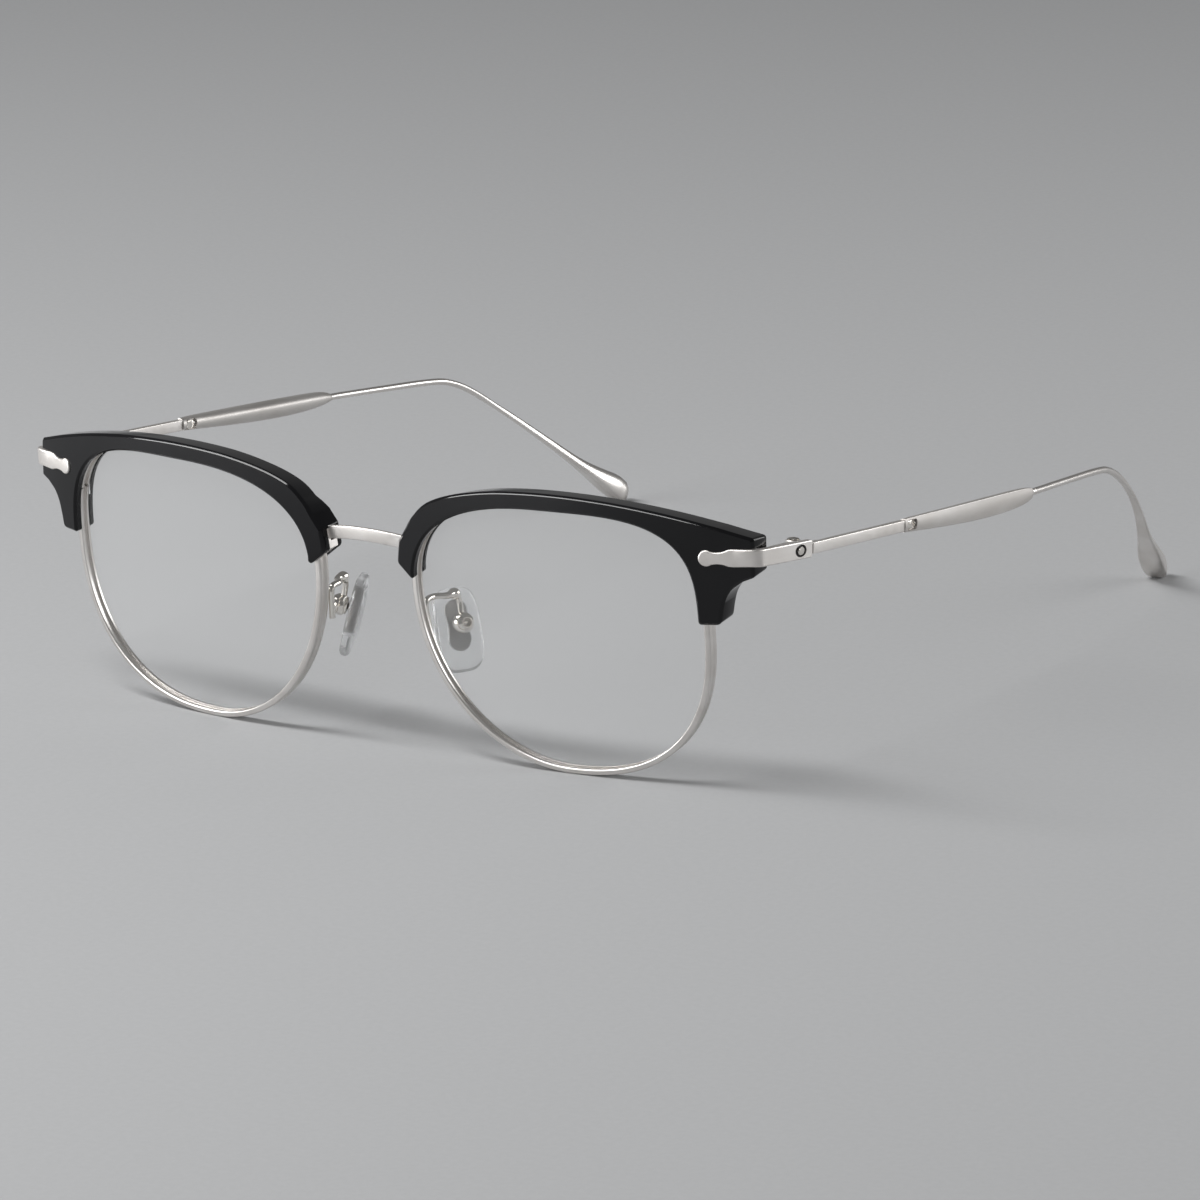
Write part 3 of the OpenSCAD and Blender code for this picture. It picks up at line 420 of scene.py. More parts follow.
def wire(path, radius, sides=20):
    """Round wire along a row of points."""
    rings = []
    for i, p in enumerate(path):
        way = path[min(i + 1, len(path) - 1)] - path[max(i - 1, 0)]
        way /= np.linalg.norm(way)
        across = np.cross(way, [0.0, 0.0, 1.0])
        if np.linalg.norm(across) < 0.2 and rings:
            across = last_across - way * (last_across @ way)
        across /= np.linalg.norm(across)
        if rings and across @ last_across < 0:
            across = -across
        last_across = across
        up = np.cross(across, way)
        r = radius if np.isscalar(radius) else radius[i]
        angle = np.arange(sides) * 2 * math.pi / sides
        rings.append(p + r * (np.outer(np.cos(angle), across) + np.outer(np.sin(angle), up)))
    return loft(rings)


# %% From a shape to a Blender object
def as_object(name, shape, mirrored=False, sharp=32):
    """A Blender object of a shape, in metres, smooth but for edges sharper than an angle."""
    mesh = bpy.data.meshes.new(name)
    points = shape.points * MM
    faces = shape.faces
    if mirrored:
        points = points * [-1, 1, 1]
        faces = [f[::-1] for f in faces]
    mesh.from_pydata(points.tolist(), [], faces)
    mesh.update()
    made = bpy.data.objects.new(name, mesh)
    bpy.context.scene.collection.objects.link(made)
    soften(made, sharp)
    return made


def soften(made, sharp):
    """Smooth shading everywhere but at edges sharper than an angle in degrees."""
    work = bmesh.new()
    work.from_mesh(made.data)
    limit = math.radians(sharp)
    for edge in work.edges:
        edge.smooth = len(edge.link_faces) == 2 and edge.calc_face_angle(0) < limit
    for face in work.faces:
        face.smooth = True
    work.to_mesh(made.data)
    work.free()


# %% Cutting and welding
def combined(base, others, operation):
    """The shape that is left of one shape after cutting others from it, or joining them to it."""
    made = as_object("work", base)
    made.data.transform(Matrix.Scale(1 / MM, 4))
    tools = []
    for k, other in enumerate(others):
        tool = as_object(f"work_tool_{k}", other)
        tool.data.transform(Matrix.Scale(1 / MM, 4))
        tools.append(tool)
        step = made.modifiers.new("step", "BOOLEAN")
        step.operation = operation
        step.solver = "EXACT"
        step.object = tool
    bpy.context.view_layer.update()
    seen = made.evaluated_get(bpy.context.evaluated_depsgraph_get())
    result = seen.to_mesh()
    points = [tuple(v.co) for v in result.vertices]
    faces = [tuple(p.vertices) for p in result.polygons]
    seen.to_mesh_clear()
    for tool in [made, *tools]:
        data = tool.data
        bpy.data.objects.remove(tool)
        bpy.data.meshes.remove(data)
    return Shape(points, faces)


def cut(base, *tools):
    return combined(base, tools, "DIFFERENCE")


def welded(base, *others):
    return combined(base, others, "UNION")


# %% [markdown]
# ## A piece and its twin
# Nearly every piece comes as a left and a right one. One helper makes both: it mirrors the
# points, gives them their finish, lets each ride on the body that carries it, and hides the CAD
# nodes that it stands for. A mirrored object with a negative scale would turn its faces inside out in
# some exports, so the points themselves are mirrored here.

# %% A pair of pieces
def pair(name, shape, body, material, nodes, sharp=32):
    """The left piece and its mirror image, riding on a body, and standing for its CAD nodes."""
    for side, mirrored in (("left", False), ("right", True)):
        made = as_object(f"{name}_{side}", shape, mirrored, sharp)
        made.data.materials.append(material)
        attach(made, body if body == "front" else f"{body}_{side}")
        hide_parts(*[f"{node}_{side}" for node in nodes])
    print(f"{name}: {len(shape.points)} points, {len(shape.faces)} faces a side")


# %% [markdown]
# ## Finishes
# The metal is nickel silver in four states. Strip is brushed to a satin: soft, slightly warm,
# with a fine grain that breaks up the reflections. Drawn wire is closer and smoother, the
# sleeves are blasted and greyer, and small parts are polished by tumbling, so that they keep
# sharp reflections. The brows are cellulose acetate, buffed to a deep gloss that still shows
# faint waves. Each finish is a few noise nodes on a plain surface shader, because a procedural
# finish holds at any distance and needs no picture.

# %% A plain shader and a noise
def finish(name, colour, metallic, roughness):
    """A material with a colour, a roughness and a share of metal, and its shader."""
    material = bpy.data.materials.new(name)
    material.use_nodes = True
    shader = material.node_tree.nodes["Principled BSDF"]
    shader.inputs["Base Color"].default_value = (*colour, 1)
    shader.inputs["Metallic"].default_value = metallic
    shader.inputs["Roughness"].default_value = roughness
    return material, shader


def grain(material, scale, stretch, detail=3):
    """Noise in the object's own frame, in units of a metre, stretched along each axis."""
    tree = material.node_tree
    place = tree.nodes.new("ShaderNodeTexCoord")
    sizes = tree.nodes.new("ShaderNodeMapping")
    noise = tree.nodes.new("ShaderNodeTexNoise")
    sizes.inputs["Scale"].default_value = stretch
    noise.inputs["Scale"].default_value = scale
    noise.inputs["Detail"].default_value = detail
    tree.links.new(place.outputs["Object"], sizes.inputs["Vector"])
    tree.links.new(sizes.outputs["Vector"], noise.inputs["Vector"])
    return noise.outputs["Fac"]


# %% What a noise can drive
NOISE_LOW, NOISE_HIGH = 0.3, 0.7
RAMP_LOW, RAMP_HIGH = 0.35, 0.65


def varied(material, shader, socket, source, low, high):
    """A socket that varies between two values with a noise."""
    tree = material.node_tree
    spread = tree.nodes.new("ShaderNodeMapRange")
    spread.inputs["From Min"].default_value = NOISE_LOW
    spread.inputs["From Max"].default_value = NOISE_HIGH
    spread.inputs["To Min"].default_value = low
    spread.inputs["To Max"].default_value = high
    tree.links.new(source, spread.inputs["Value"])
    tree.links.new(spread.outputs["Result"], shader.inputs[socket])


def tinted(material, shader, source, low, high):
    """A base colour that drifts between two colours with a noise."""
    tree = material.node_tree
    ramp = tree.nodes.new("ShaderNodeValToRGB")
    ramp.color_ramp.elements[0].position = RAMP_LOW
    ramp.color_ramp.elements[1].position = RAMP_HIGH
    ramp.color_ramp.elements[0].color = (*low, 1)
    ramp.color_ramp.elements[1].color = (*high, 1)
    tree.links.new(source, ramp.inputs["Fac"])
    tree.links.new(ramp.outputs["Color"], shader.inputs["Base Color"])


def dented(material, shader, source, strength, distance):
    """Fine bumps from a noise, with a strength and a depth in metres."""
    tree = material.node_tree
    bump = tree.nodes.new("ShaderNodeBump")
    bump.inputs["Strength"].default_value = strength
    bump.inputs["Distance"].default_value = distance
    tree.links.new(source, bump.inputs["Height"])
    tree.links.new(bump.outputs["Normal"], shader.inputs["Normal"])


# %% The metals
SILVER = (0.74, 0.71, 0.68)
SILVER_WORN, SILVER_BRIGHT = (0.72, 0.69, 0.66), (0.80, 0.775, 0.75)
GRAIN_DEPTH = 0.00002


def make_satin(name, shade, low, high, depth):
    """Brushed metal: its share of full silver, its roughness, and the strength of its lines."""
    material, shader = finish(name, SILVER, 1, high)
    brushing = grain(material, 9000, (1, 0.06, 1))
    patches = grain(material, 260, (1, 0.4, 1), 2)
    worn, bright = ([shade * c for c in colour] for colour in (SILVER_WORN, SILVER_BRIGHT))
    tinted(material, shader, patches, worn, bright)
    varied(material, shader, "Roughness", brushing, low, high)
    dented(material, shader, brushing, depth, GRAIN_DEPTH)
    return material


def make_polished():
    """Tumbled metal: warm and nearly a mirror, under a thin film that dulls it in places."""
    material, shader = finish("polished_nickel_silver", (0.78, 0.75, 0.70), 1, 0.1)
    film = grain(material, 700, (1, 1, 1))
    tinted(material, shader, film, (0.74, 0.71, 0.665), (0.80, 0.775, 0.73))
    varied(material, shader, "Roughness", film, 0.07, 0.15)
    return material


def make_matte():
    """The dark blasted metal inside a clear pad."""
    material, shader = finish("blasted_pad_metal", (0.19, 0.17, 0.15), 1, 0.5)
    blasting = grain(material, 12000, (1, 1, 1))
    tinted(material, shader, blasting, (0.165, 0.145, 0.128), (0.225, 0.20, 0.18))
    varied(material, shader, "Roughness", blasting, 0.45, 0.58)
    dented(material, shader, blasting, 0.2, GRAIN_DEPTH)
    return material


# %% The acetate and the clear parts
WAVE_DEPTH = 0.00004


def make_acetate():
    """Black acetate: its polish has long, very shallow waves."""
    material, shader = finish("black_acetate", (0.004, 0.004, 0.005), 0, 0.09)
    depth = grain(material, 90, (1, 1, 1))
    buffing = grain(material, 420, (1, 1, 1), 2)
    tinted(material, shader, depth, (0.003, 0.003, 0.0036), (0.005, 0.005, 0.006))
    varied(material, shader, "Roughness", buffing, 0.07, 0.11)
    dented(material, shader, buffing, 0.05, WAVE_DEPTH)
    shader.inputs["IOR"].default_value = 1.36
    return material


def make_lens():
    """A coated lens: almost nothing of it shows but its edge and a faint gloss."""
    material, shader = finish("coated_lens", (0.9, 0.92, 0.93), 0, 0.02)
    film = grain(material, 60, (1, 1, 1), 1)
    varied(material, shader, "Roughness", film, 0.015, 0.03)
    shader.inputs["Alpha"].default_value = 0.03
    shader.inputs["IOR"].default_value = 1.3
    return material


def make_silicone():
    """Clear silicone, a little milky."""
    material, shader = finish("clear_silicone", (0.97, 0.98, 0.985), 0, 0.08)
    moulding = grain(material, 900, (1, 1, 1))
    varied(material, shader, "Roughness", moulding, 0.05, 0.14)
    shader.inputs["Transmission Weight"].default_value = 0.83
    shader.inputs["IOR"].default_value = 1.36
    return material


# %% All the finishes
satin = make_satin("satin_nickel_silver", 1, 0.38, 0.46, 0.12)
drawn = make_satin("drawn_nickel_silver", 0.94, 0.29, 0.34, 0.03)
blasted = make_satin("blasted_nickel_silver", 0.76, 0.46, 0.56, 0.15)
polished = make_polished()
matte = make_matte()
acetate = make_acetate()
coated = make_lens()
silicone = make_silicone()
print("finishes:", [m.name for m in (satin, drawn, blasted, polished, matte, acetate, coated, silicone)])

# %% [markdown]
# ## Rims and lenses
# A rim is drawn wire with a groove inside for the lens and a shallow flute outside, bent to the
# lens and closed at a small lock. Sweeping the wire's real section round the opening gives both
# beads and the dark line between them. The lens is a shell between two spheres, with a bevelled
# edge that sits in the groove.

# %% Section of the rim wire
GROOVE_FRONT = (LENS_T - BEVEL_T) / 2 - SEAT
GROOVE_BACK = (LENS_T + BEVEL_T) / 2 + SEAT
GROOVE_R, LIP_R = 0.04, 0.05
BEAD_R = 0.26
FLUTE_W, FLUTE_D = 0.42, 0.2
FLUTE_R, FLUTE_EDGE_R = 0.16, 0.3


def rim_section():
    """The wire's section as rows of (out from the opening, back from the lens's front)."""
    front, back = -RIM_PROUD, RIM_REAR
    middle = (front + back) / 2
    box = [
        [0, GROOVE_FRONT],
        [0, front],
        [RIM_W, front],
        [RIM_W, middle - FLUTE_W],
        [RIM_W - FLUTE_D, middle],
        [RIM_W, middle + FLUTE_W],
        [RIM_W, back],
        [0, back],
        [0, GROOVE_BACK],
        [BEVEL_H + SEAT, GROOVE_BACK],
        [BEVEL_H + SEAT, GROOVE_FRONT],
    ]
    flute = [FLUTE_EDGE_R, FLUTE_R, FLUTE_EDGE_R]
    radii = [LIP_R, BEAD_R, BEAD_R, *flute, BEAD_R, BEAD_R, LIP_R, GROOVE_R, GROOVE_R]
    return rounded(box, radii, 5)


print("rim wire:", RIM_W, "by", RIM_D, "mm, with a flute", FLUTE_D, "mm deep")

# %% Rim, from one side of the lock to the other
LOCK_V = EYE_TOP - 9.6
SPLIT = 0.2
RIM_STATIONS = 360


def rim_stations(count):
    """Points of the opening from one side of the lock's split to the other."""
    fine = eye_outline(FINE)
    out = outward(fine)
    far_off = 100
    near = np.argmin(np.abs(fine[:, 1] - LOCK_V) + far_off * (fine[:, 0] < 0))
    fine, out = np.roll(fine, -near, axis=0), np.roll(out, -near, axis=0)
    at = along(fine)
    wanted = np.linspace(SPLIT / 2, at[-1] - SPLIT / 2, count)
    return (
        np.stack([np.interp(wanted, at, fine[:, k]) for k in (0, 1)], 1),
        np.stack([np.interp(wanted, at, out[:, k]) for k in (0, 1)], 1),
    )


section = rim_section()
edge, out = rim_stations(RIM_STATIONS)
rings = []
for p, n in zip(edge, out):
    u = p[0] + n[0] * section[:, 0]
    v = p[1] + n[1] * section[:, 0]
    rings.append(on_front(u, section[:, 1], v))
pair("rim", loft(rings), "front", drawn, ["eyewire"], sharp=40)

# %% Lenses
def lens_shape():
    """Loops from the middle of the front, over the bevelled edge, to the middle of the back."""
    steps = 30
    middle = [0, LENS_MID]
    profile = [(grown(eye, -SEAT) - middle) * (k / steps) + middle for k in range(1, steps + 1)]
    rows = [(loop, 0.0) for loop in profile]
    bevel = (LENS_T - BEVEL_T) / 2
    rows.append((grown(eye, BEVEL_H), bevel))
    rows.append((grown(eye, BEVEL_H), bevel + BEVEL_T))
    rows += [(loop, LENS_T) for loop in profile[::-1]]
    return loft([on_front(loop[:, 0], d, loop[:, 1]) for loop, d in rows])


pair("lens_blank", lens_shape(), "front", coated, ["lens"], sharp=25)

# %% [markdown]
# ## Brows
# Each brow is milled from a sheet of black acetate, channelled behind its front lip for the rim,
# slotted at the nose for the bridge's foot, and let in for the end strap. Its edges are tumbled
# soft, and that soft edge is what draws the thin white line along the top. So the brow is a
# plate over the lens curve with a rounded edge all round, and the channel, slot and pockets are
# cut from it afterwards, as on the bench.

# %% Sizes of the brows
BROW_FRONT = RIM_PROUD + 1.4
BROW_REAR = RIM_REAR + 0.9
BROW_END = SIDE_U + 8.9
CROWN_R = 101
TOP_LEAN, NOSE_TURN = math.radians(11), math.radians(8)
CORNER_DROP, FOOT_DROP, NOSE_DROP, NOSE_W = 9, 16.5, 14.3, 3
NOSE_CORNER = EYE_TOP - 8.1
LIP_COVER = 0.15
CROWN_RISE, CROWN_U = 2.6, 0.5
JOIN_AT, JOIN_SAG, MEET_AT, MEET_SAG = 13.2, 0.3, 18.5, 0.05
NOSE_CURVE = [[2, -6], [3.3, -4], [5.7, -1.7], [9, -0.1]]
FOOT_CURVE = [[7, -0.7], [5.4, -1.8], [4.4, -3.3], [3.9, -5]]
FOOT_W, FOOT_LOW_W, FOOT_FLAT_W, FOOT_RISE = 3.6, 3.4, 3.3, 0.9
NOSE_CUT, NOSE_CUT_W = 2.6, 0.55
END_R, FOOT_OUT_R, FOOT_IN_R = 0.6, 0.9, 0.5
NOSE_IN_R, NOSE_LOW_R, NOSE_HIGH_R = 0.48, 0.9, 0.7


def crown(u):
    """Height of the brow's upper edge."""
    return EYE_TOP + CROWN_RISE - (u - CROWN_U) ** 2 / (2 * CROWN_R)


# %% Outline of a brow
def brow_outline():
    """The outline of a brow, and for each point how far it follows the slant of its edge to the back."""
    start = NOSE_U - NOSE_W
    joins, meets = start + JOIN_AT, start + MEET_AT
    nose = [[start + u, EYE_TOP + v] for u, v in NOSE_CURVE]
    nose += [[joins, crown(joins) - JOIN_SAG], [meets, crown(meets) - MEET_SAG]]
    top = []
    for k in range(1, 8):
        u = BROW_END + (meets - BROW_END) * (8 - k) / 8
        top.append([u, crown(u)])
    foot = [[SIDE_U + u, EYE_TOP - CORNER_DROP + v] for u, v in FOOT_CURVE]
    foot.append([SIDE_U + FOOT_W, EYE_TOP - FOOT_DROP + FOOT_RISE])
    high = [BROW_END, crown(BROW_END)]
    low = [BROW_END, EYE_TOP - CORNER_DROP]
    opening = grown(eye, -LIP_COVER)
    foot_low, nose_low = EYE_TOP - FOOT_DROP, EYE_TOP - NOSE_DROP
    first = next(k for k, p in enumerate(opening) if p[0] > 0 and p[1] > foot_low + 0.7)
    arch = [tuple(p) for p in np.roll(opening, -first, axis=0)]
    stop = next(k for k, p in enumerate(arch) if p[0] < 0 and p[1] < nose_low + 1.2)
    arch = arch[:stop]
    foot_inner = [arch[0][0] + 0.02, foot_low]
    nose_inner = [arch[-1][0] - 0.02, nose_low]
    cut_low = [start, nose_low + NOSE_CUT]
    cut_high = [start + NOSE_CUT_W, NOSE_CORNER]
    before = corner(arch[-1], nose_inner, cut_low, NOSE_IN_R)
    before += corner(nose_inner, cut_low, cut_high, NOSE_LOW_R)
    before += corner(cut_low, cut_high, nose[0], NOSE_HIGH_R)
    slanted = smooth(nose + top, 4)
    high_arc = corner(top[-1], high, low, END_R, 8)
    after = corner(high, low, foot[0], END_R, 8)
    after += list(smooth(foot, 4))[:-1]
    after += corner(foot[-2], [SIDE_U + FOOT_LOW_W, foot_low], foot_inner, FOOT_OUT_R, 8)
    after += corner([SIDE_U + FOOT_FLAT_W, foot_low], foot_inner, arch[0], FOOT_IN_R)
    after += arch
    loop = np.vstack([before, slanted, high_arc, after])
    follow = np.zeros(len(loop))
    first = len(before)
    follow[first:first + len(slanted)] = np.minimum(1, along(slanted) / 3)
    follow[first + len(slanted):first + len(slanted) + len(high_arc)] = 1
    return loop, follow


# %% The outline's long edges, divided
def divided(loop, follow, longest):
    """The same outline with its long edges divided, and what goes with its points."""
    points, kept = [], []
    for a, b, fa, fb in zip(loop, np.roll(loop, -1, axis=0), follow, np.roll(follow, -1)):
        parts = max(1, math.ceil(np.linalg.norm(b - a) / longest))
        for k in range(parts):
            points.append(a + (b - a) * k / parts)
            kept.append(fa + (fb - fa) * k / parts)
    return np.array(points), np.array(kept)


# %% [markdown]
# The blank is wrapped over the same sphere as the lens. Its upper edge leans back, and near the
# nose it turns outwards as well, so the outline slides as it goes deeper. The front edge is
# nearly a flat bevel and not a round one: a flat strip mirrors one thing along its whole length,
# and that is what makes the line of light crisp.

# %% Brow blank, wrapped over the lens's curve
BROW_EDGE, BROW_BEVEL = 0.42, 1.1
NOSE_REACH = 8


def curved(u, v, d):
    return on_front(u, d, v)


loop, follow = divided(*brow_outline(), 0.5)
beside_nose = np.clip(-loop[:, 0] / NOSE_REACH - 1, 0, 1)
slant = np.stack([
    follow * beside_nose * math.tan(NOSE_TURN),
    -follow * math.tan(TOP_LEAN) / math.cos(NOSE_TURN),
], 1)
blank = plate(
    loop, -BROW_FRONT, BROW_REAR, curved, near_r=BROW_EDGE, far_r=BROW_EDGE,
    spacing=1.2, slant=slant, arc=8, bevel=BROW_BEVEL,
)
print("brow blank:", len(blank.points), "points")

# %% Tools: a curved block and the channel for the rim
CHANNEL_IN = 1.5


def block(u0, u1, v0, v1, d0, d1, parts=16):
    """A block between four lines on the lens and two depths, curved as the lens is."""
    low = [[u0 + (u1 - u0) * k / parts, v0] for k in range(parts)]
    right = [[u1, v0 + (v1 - v0) * k / parts] for k in range(parts)]
    high = [[u1 + (u0 - u1) * k / parts, v1] for k in range(parts)]
    left = [[u0, v1 + (v0 - v1) * k / parts] for k in range(parts)]
    outline = np.array(low + right + high + left)
    return plate(outline, d0, d1, curved, near_r=0, far_r=0, spacing=2.0, arc=1)


def channel():
    """The room for the rim wire, with a little of the opening beside it."""
    fine = evenly(eye_outline(FINE), 240)
    out = outward(fine)
    front, back = -RIM_PROUD - SEAT, RIM_REAR + SEAT
    rows = []
    for n, d in ((-CHANNEL_IN, front), (RIM_W + SEAT, front), (RIM_W + SEAT, back), (-CHANNEL_IN, back)):
        line = fine + out * n
        rows.append(on_front(line[:, 0], d, line[:, 1]))
    return loft(np.stack(rows, 1), closed=True)


# %% Outline of the end strap, for the strap and for its pocket
STRAP_V = EYE_TOP - 5.9
STRAP_H, STRAP_T, STRAP_INSET = 2.74, 1.1, 0.7
LOBE_R, LOBE_U, WAIST_H = 1.25, SIDE_U + 1.8, 0.9
SHOULDER_AT = 4.2


def strap_edge():
    """The upper edge of the end strap on the front, from its round end outwards."""
    lobe = [[LOBE_R * math.cos(a), LOBE_R * math.sin(a)] for a in np.radians(np.arange(180, 53, -9))]
    waist = smooth([[LOBE_R, WAIST_H + 0.03], [1.9, WAIST_H], [2.7, WAIST_H + 0.12],
                    [3.5, STRAP_H / 2 - 0.06]], 4)
    return np.vstack([lobe, waist, [[SHOULDER_AT, STRAP_H / 2]]])


def strap_outline(end, gap=0.0):
    """The end strap's outline about the middle of its round end, as far as a distance."""
    upper = np.vstack([strap_edge(), [[end, STRAP_H / 2]]])
    loop = np.vstack([upper, upper[:0:-1] * [1, -1]])
    return grown(loop, gap) if gap else loop


def strap_pocket():
    """The room for the strap in the brow's front, open at the brow's end."""
    loop = finer(strap_outline(BROW_END - LOBE_U + 2, SEAT), 1.0) + [LOBE_U, STRAP_V]
    return plate(loop, -BROW_FRONT - 1, -BROW_FRONT + STRAP_INSET + SEAT, curved, 0, 0, 2.0, arc=1)


# %% Screw hole, lock pocket and nose slot
LOCK_U = SIDE_U + RIM_W + SEAT
LOCK_W, LOCK_H, LOCK_ROOM = 2.2, 4, 0.1
HEAD_ROOM_R, HEAD_ROOM_D, HEAD_EDGE_R = 1.08, 0.9, 1.3
SLOT_TOP = NOSE_CORNER - 0.25
HAIR = 0.01


def along_depth(p):
    """The frame of a screw that goes through the brow: depth, out and up."""
    return leaned(LOBE_U + p[:, 1], p[:, 0], STRAP_V + p[:, 2]) - [0, mid_y, rim_low]


brow_back = float(depth_at(LOBE_U, STRAP_V, BROW_REAR))
screw_hole = turned([
    (brow_back - HEAD_ROOM_D, HEAD_ROOM_R), (brow_back - 0.1, HEAD_ROOM_R), (brow_back + 0.4, HEAD_EDGE_R),
], along_depth)
lock_pocket = block(SIDE_U + 0.6, LOCK_U + LOCK_W + LOCK_ROOM, LOCK_V - LOCK_H / 2 - LOCK_ROOM,
                    LOCK_V + LOCK_H / 2 + 0.6, -RIM_PROUD - SEAT - HAIR, BROW_REAR + 1)
nose_slot = block(NOSE_U - NOSE_W - 3, NOSE_U + 2, EYE_TOP - NOSE_DROP - 3, SLOT_TOP,
                  -RIM_PROUD - SEAT + HAIR, RIM_REAR + SEAT - HAIR)
brow = cut(blank, channel(), nose_slot, strap_pocket(), lock_pocket, screw_hole)
pair("brow_bar", brow, "front", acetate, ["brow"], sharp=30)

# %% [markdown]
# ## End straps and hinges
# The end strap is one strip of metal. Its round end is let into the brow's front, a waist and
# two shoulders follow, and then it turns the corner and runs back to the hinge. A plate that is
# laid out flat and bent along its path keeps the same soft edge all the way round, as a pressed
# strip does.

# %% The strap's path
STRAP_FRONT = -BROW_FRONT - STRAP_T + STRAP_INSET
STRAP_RUN, STRAP_SPLAY, BEND_R = 12.7, math.radians(5), 1.9
FRONT_STEPS, SIDE_STEPS = 60, 30


def strap_path():
    """Middle line of the strap's outer face and the direction of its height, point by point."""
    us = np.linspace(LOBE_U - LOBE_R - 0.5, BROW_END, FRONT_STEPS)
    front = on_front(us, STRAP_FRONT, np.full(FRONT_STEPS, STRAP_V))
    side = on_front(np.array([BROW_END]), -BROW_FRONT, np.array([STRAP_V]))[0]
    begin = side[:2] + [SEAT + STRAP_T, 0]
    way = np.array([math.sin(STRAP_SPLAY), math.cos(STRAP_SPLAY)])
    end = begin + way * STRAP_RUN / way[1]
    front_way = front[-1, :2] - front[-8, :2]
    front_way /= np.linalg.norm(front_way)
    det = front_way[0] * way[1] - front_way[1] * way[0]
    gap = begin - front[-1, :2]
    turn_at = front[-1, :2] + front_way * (gap[0] * way[1] - gap[1] * way[0]) / det
    bend = corner(front[-8, :2], turn_at, end, BEND_R, 16)
    flat = [p for p in front[:, :2] if (bend[0] - p) @ front_way > 0.05]
    run = [bend[-1] + (end - bend[-1]) * k / SIDE_STEPS for k in range(1, SIDE_STEPS + 1)]
    flat = np.array(flat + bend + run)
    z_front = np.interp(flat[:, 0], front[:, 0], front[:, 2])
    z_side = side[2] - (flat[:, 1] - side[1]) * math.tan(SLOPE)
    share = np.clip((flat[:, 1] - bend[0][1]) / (bend[-1][1] - bend[0][1]), 0, 1)
    share = share * share * (3 - 2 * share)
    z = z_front * (1 - share) + z_side * share
    lean = np.array([0, -math.sin(TILT), math.cos(TILT)])
    slope = np.array([0, math.sin(SLOPE), math.cos(SLOPE)])
    up = lean * (1 - share)[:, None] + slope * share[:, None]
    return np.column_stack([flat, z]), up / np.linalg.norm(up, axis=1)[:, None]


path, rise = strap_path()
path_at = along(path)
front_start = on_front(np.array([LOBE_U]), STRAP_FRONT, np.array([STRAP_V]))[0]
lobe_at = float(path_at[np.argmin(np.linalg.norm(path - front_start, axis=1))])
strap_len = path_at[-1] - lobe_at
print("strap from its round end's middle to the hinge:", round(strap_len, 2), "mm")


# %% The flat strap, bent along its path
CROWN, CROWN_Y, CROWN_END, CROWN_FADE = 0.12, -1.0, 6.4, 2


def bent(x, y, d):
    """A point of the flat strap, x along from the round end's middle, y up and d in from its face.

    The face is crowned towards its lower edge, so that it looks up a little and takes the light.
    """
    s = x + lobe_at
    drop = CROWN * np.clip((CROWN_END - x) / CROWN_FADE, 0, 1)
    d = d + drop * ((y - CROWN_Y) / STRAP_H * 2) ** 2 * (1 - d / STRAP_T)
    base = np.stack([np.interp(s, path_at, path[:, k]) for k in range(3)], -1)
    up = np.stack([np.interp(s, path_at, rise[:, k]) for k in range(3)], -1)
    ahead = np.stack([np.interp(s + 0.2, path_at, path[:, k]) for k in range(3)], -1)
    behind = np.stack([np.interp(s - 0.2, path_at, path[:, k]) for k in range(3)], -1)
    way = (ahead - behind) / np.linalg.norm(ahead - behind, axis=-1)[:, None]
    inner = np.cross(up, way)
    inner /= np.linalg.norm(inner, axis=-1)[:, None]
    return base + up * y[:, None] + inner * d[:, None]


# %% Pressed strap
STRAP_END_R = 0.35


def strap_shape():
    """The strap, pressed from sheet, with rounded corners at its hinge end."""
    loop = strap_outline(strap_len)
    tail = np.where(loop[:, 0] > strap_len - 0.01)[0]
    loop = np.vstack([
        loop[:tail[0]],
        corner(loop[tail[0] - 1], loop[tail[0]], loop[tail[1]], STRAP_END_R),
        corner(loop[tail[0]], loop[tail[1]], loop[(tail[1] + 1) % len(loop)], STRAP_END_R),
        loop[tail[1] + 1:],
    ])
    return plate(finer(loop, 0.35), 0, STRAP_T, bent, near_r=0.2, far_r=0.15, spacing=0.5)


# %% [markdown]
# The hinge has three knuckles: two belong to the strap, and the temple's one turns between them
# on the screw. Knuckles are short cylinders about the hinge's axis, and leaves are blocks with
# rounded edges. Both are welded to the strap with a boolean, as they are brazed on the bench.

# %% Hinge sizes and frames
HINGE_IN, HINGE_SET, KNUCKLE_R, HINGE_H, KNUCKLE_H = 2.4, 1.9, 1.2, 2.7, 1.0
PIN_ROOM_R, KNUCKLE_ROOM = 0.56, 0.15
BAR_T, BAR_H = 1.0, 1.8
BAR_IN = HINGE_IN - BAR_T
LEAF_BACK, LEAF_H = 6.4, STRAP_H - 0.3
HINGE_GAP = 0.06


def upright(p):
    """A frame whose first axis is the hinge's own."""
    return on_temple(np.column_stack([p[:, 1], p[:, 2], p[:, 0]]))


def sideways(p):
    """A frame whose first axis points out of the temple's side."""
    return on_temple(np.column_stack([p[:, 0], p[:, 1], p[:, 2]]))


# %% Pins and blocks of the hinge
def pin(radius, low, high, edge=0.12):
    """A short cylinder with chamfered edges, about the hinge's axis."""
    return turned([
        (low, radius - edge), (low + edge, radius), (high - edge, radius), (high, radius - edge),
    ], upright)


def from_side(y, z, x):
    """A plate that is drawn from the temple's side: back and up, with its depth outwards."""
    return on_temple(np.stack([x, y, z], -1))


def from_above(x, y, z):
    """A plate that is drawn from above: out and back, with its depth upwards."""
    return on_temple(np.stack([x, y, z], -1))


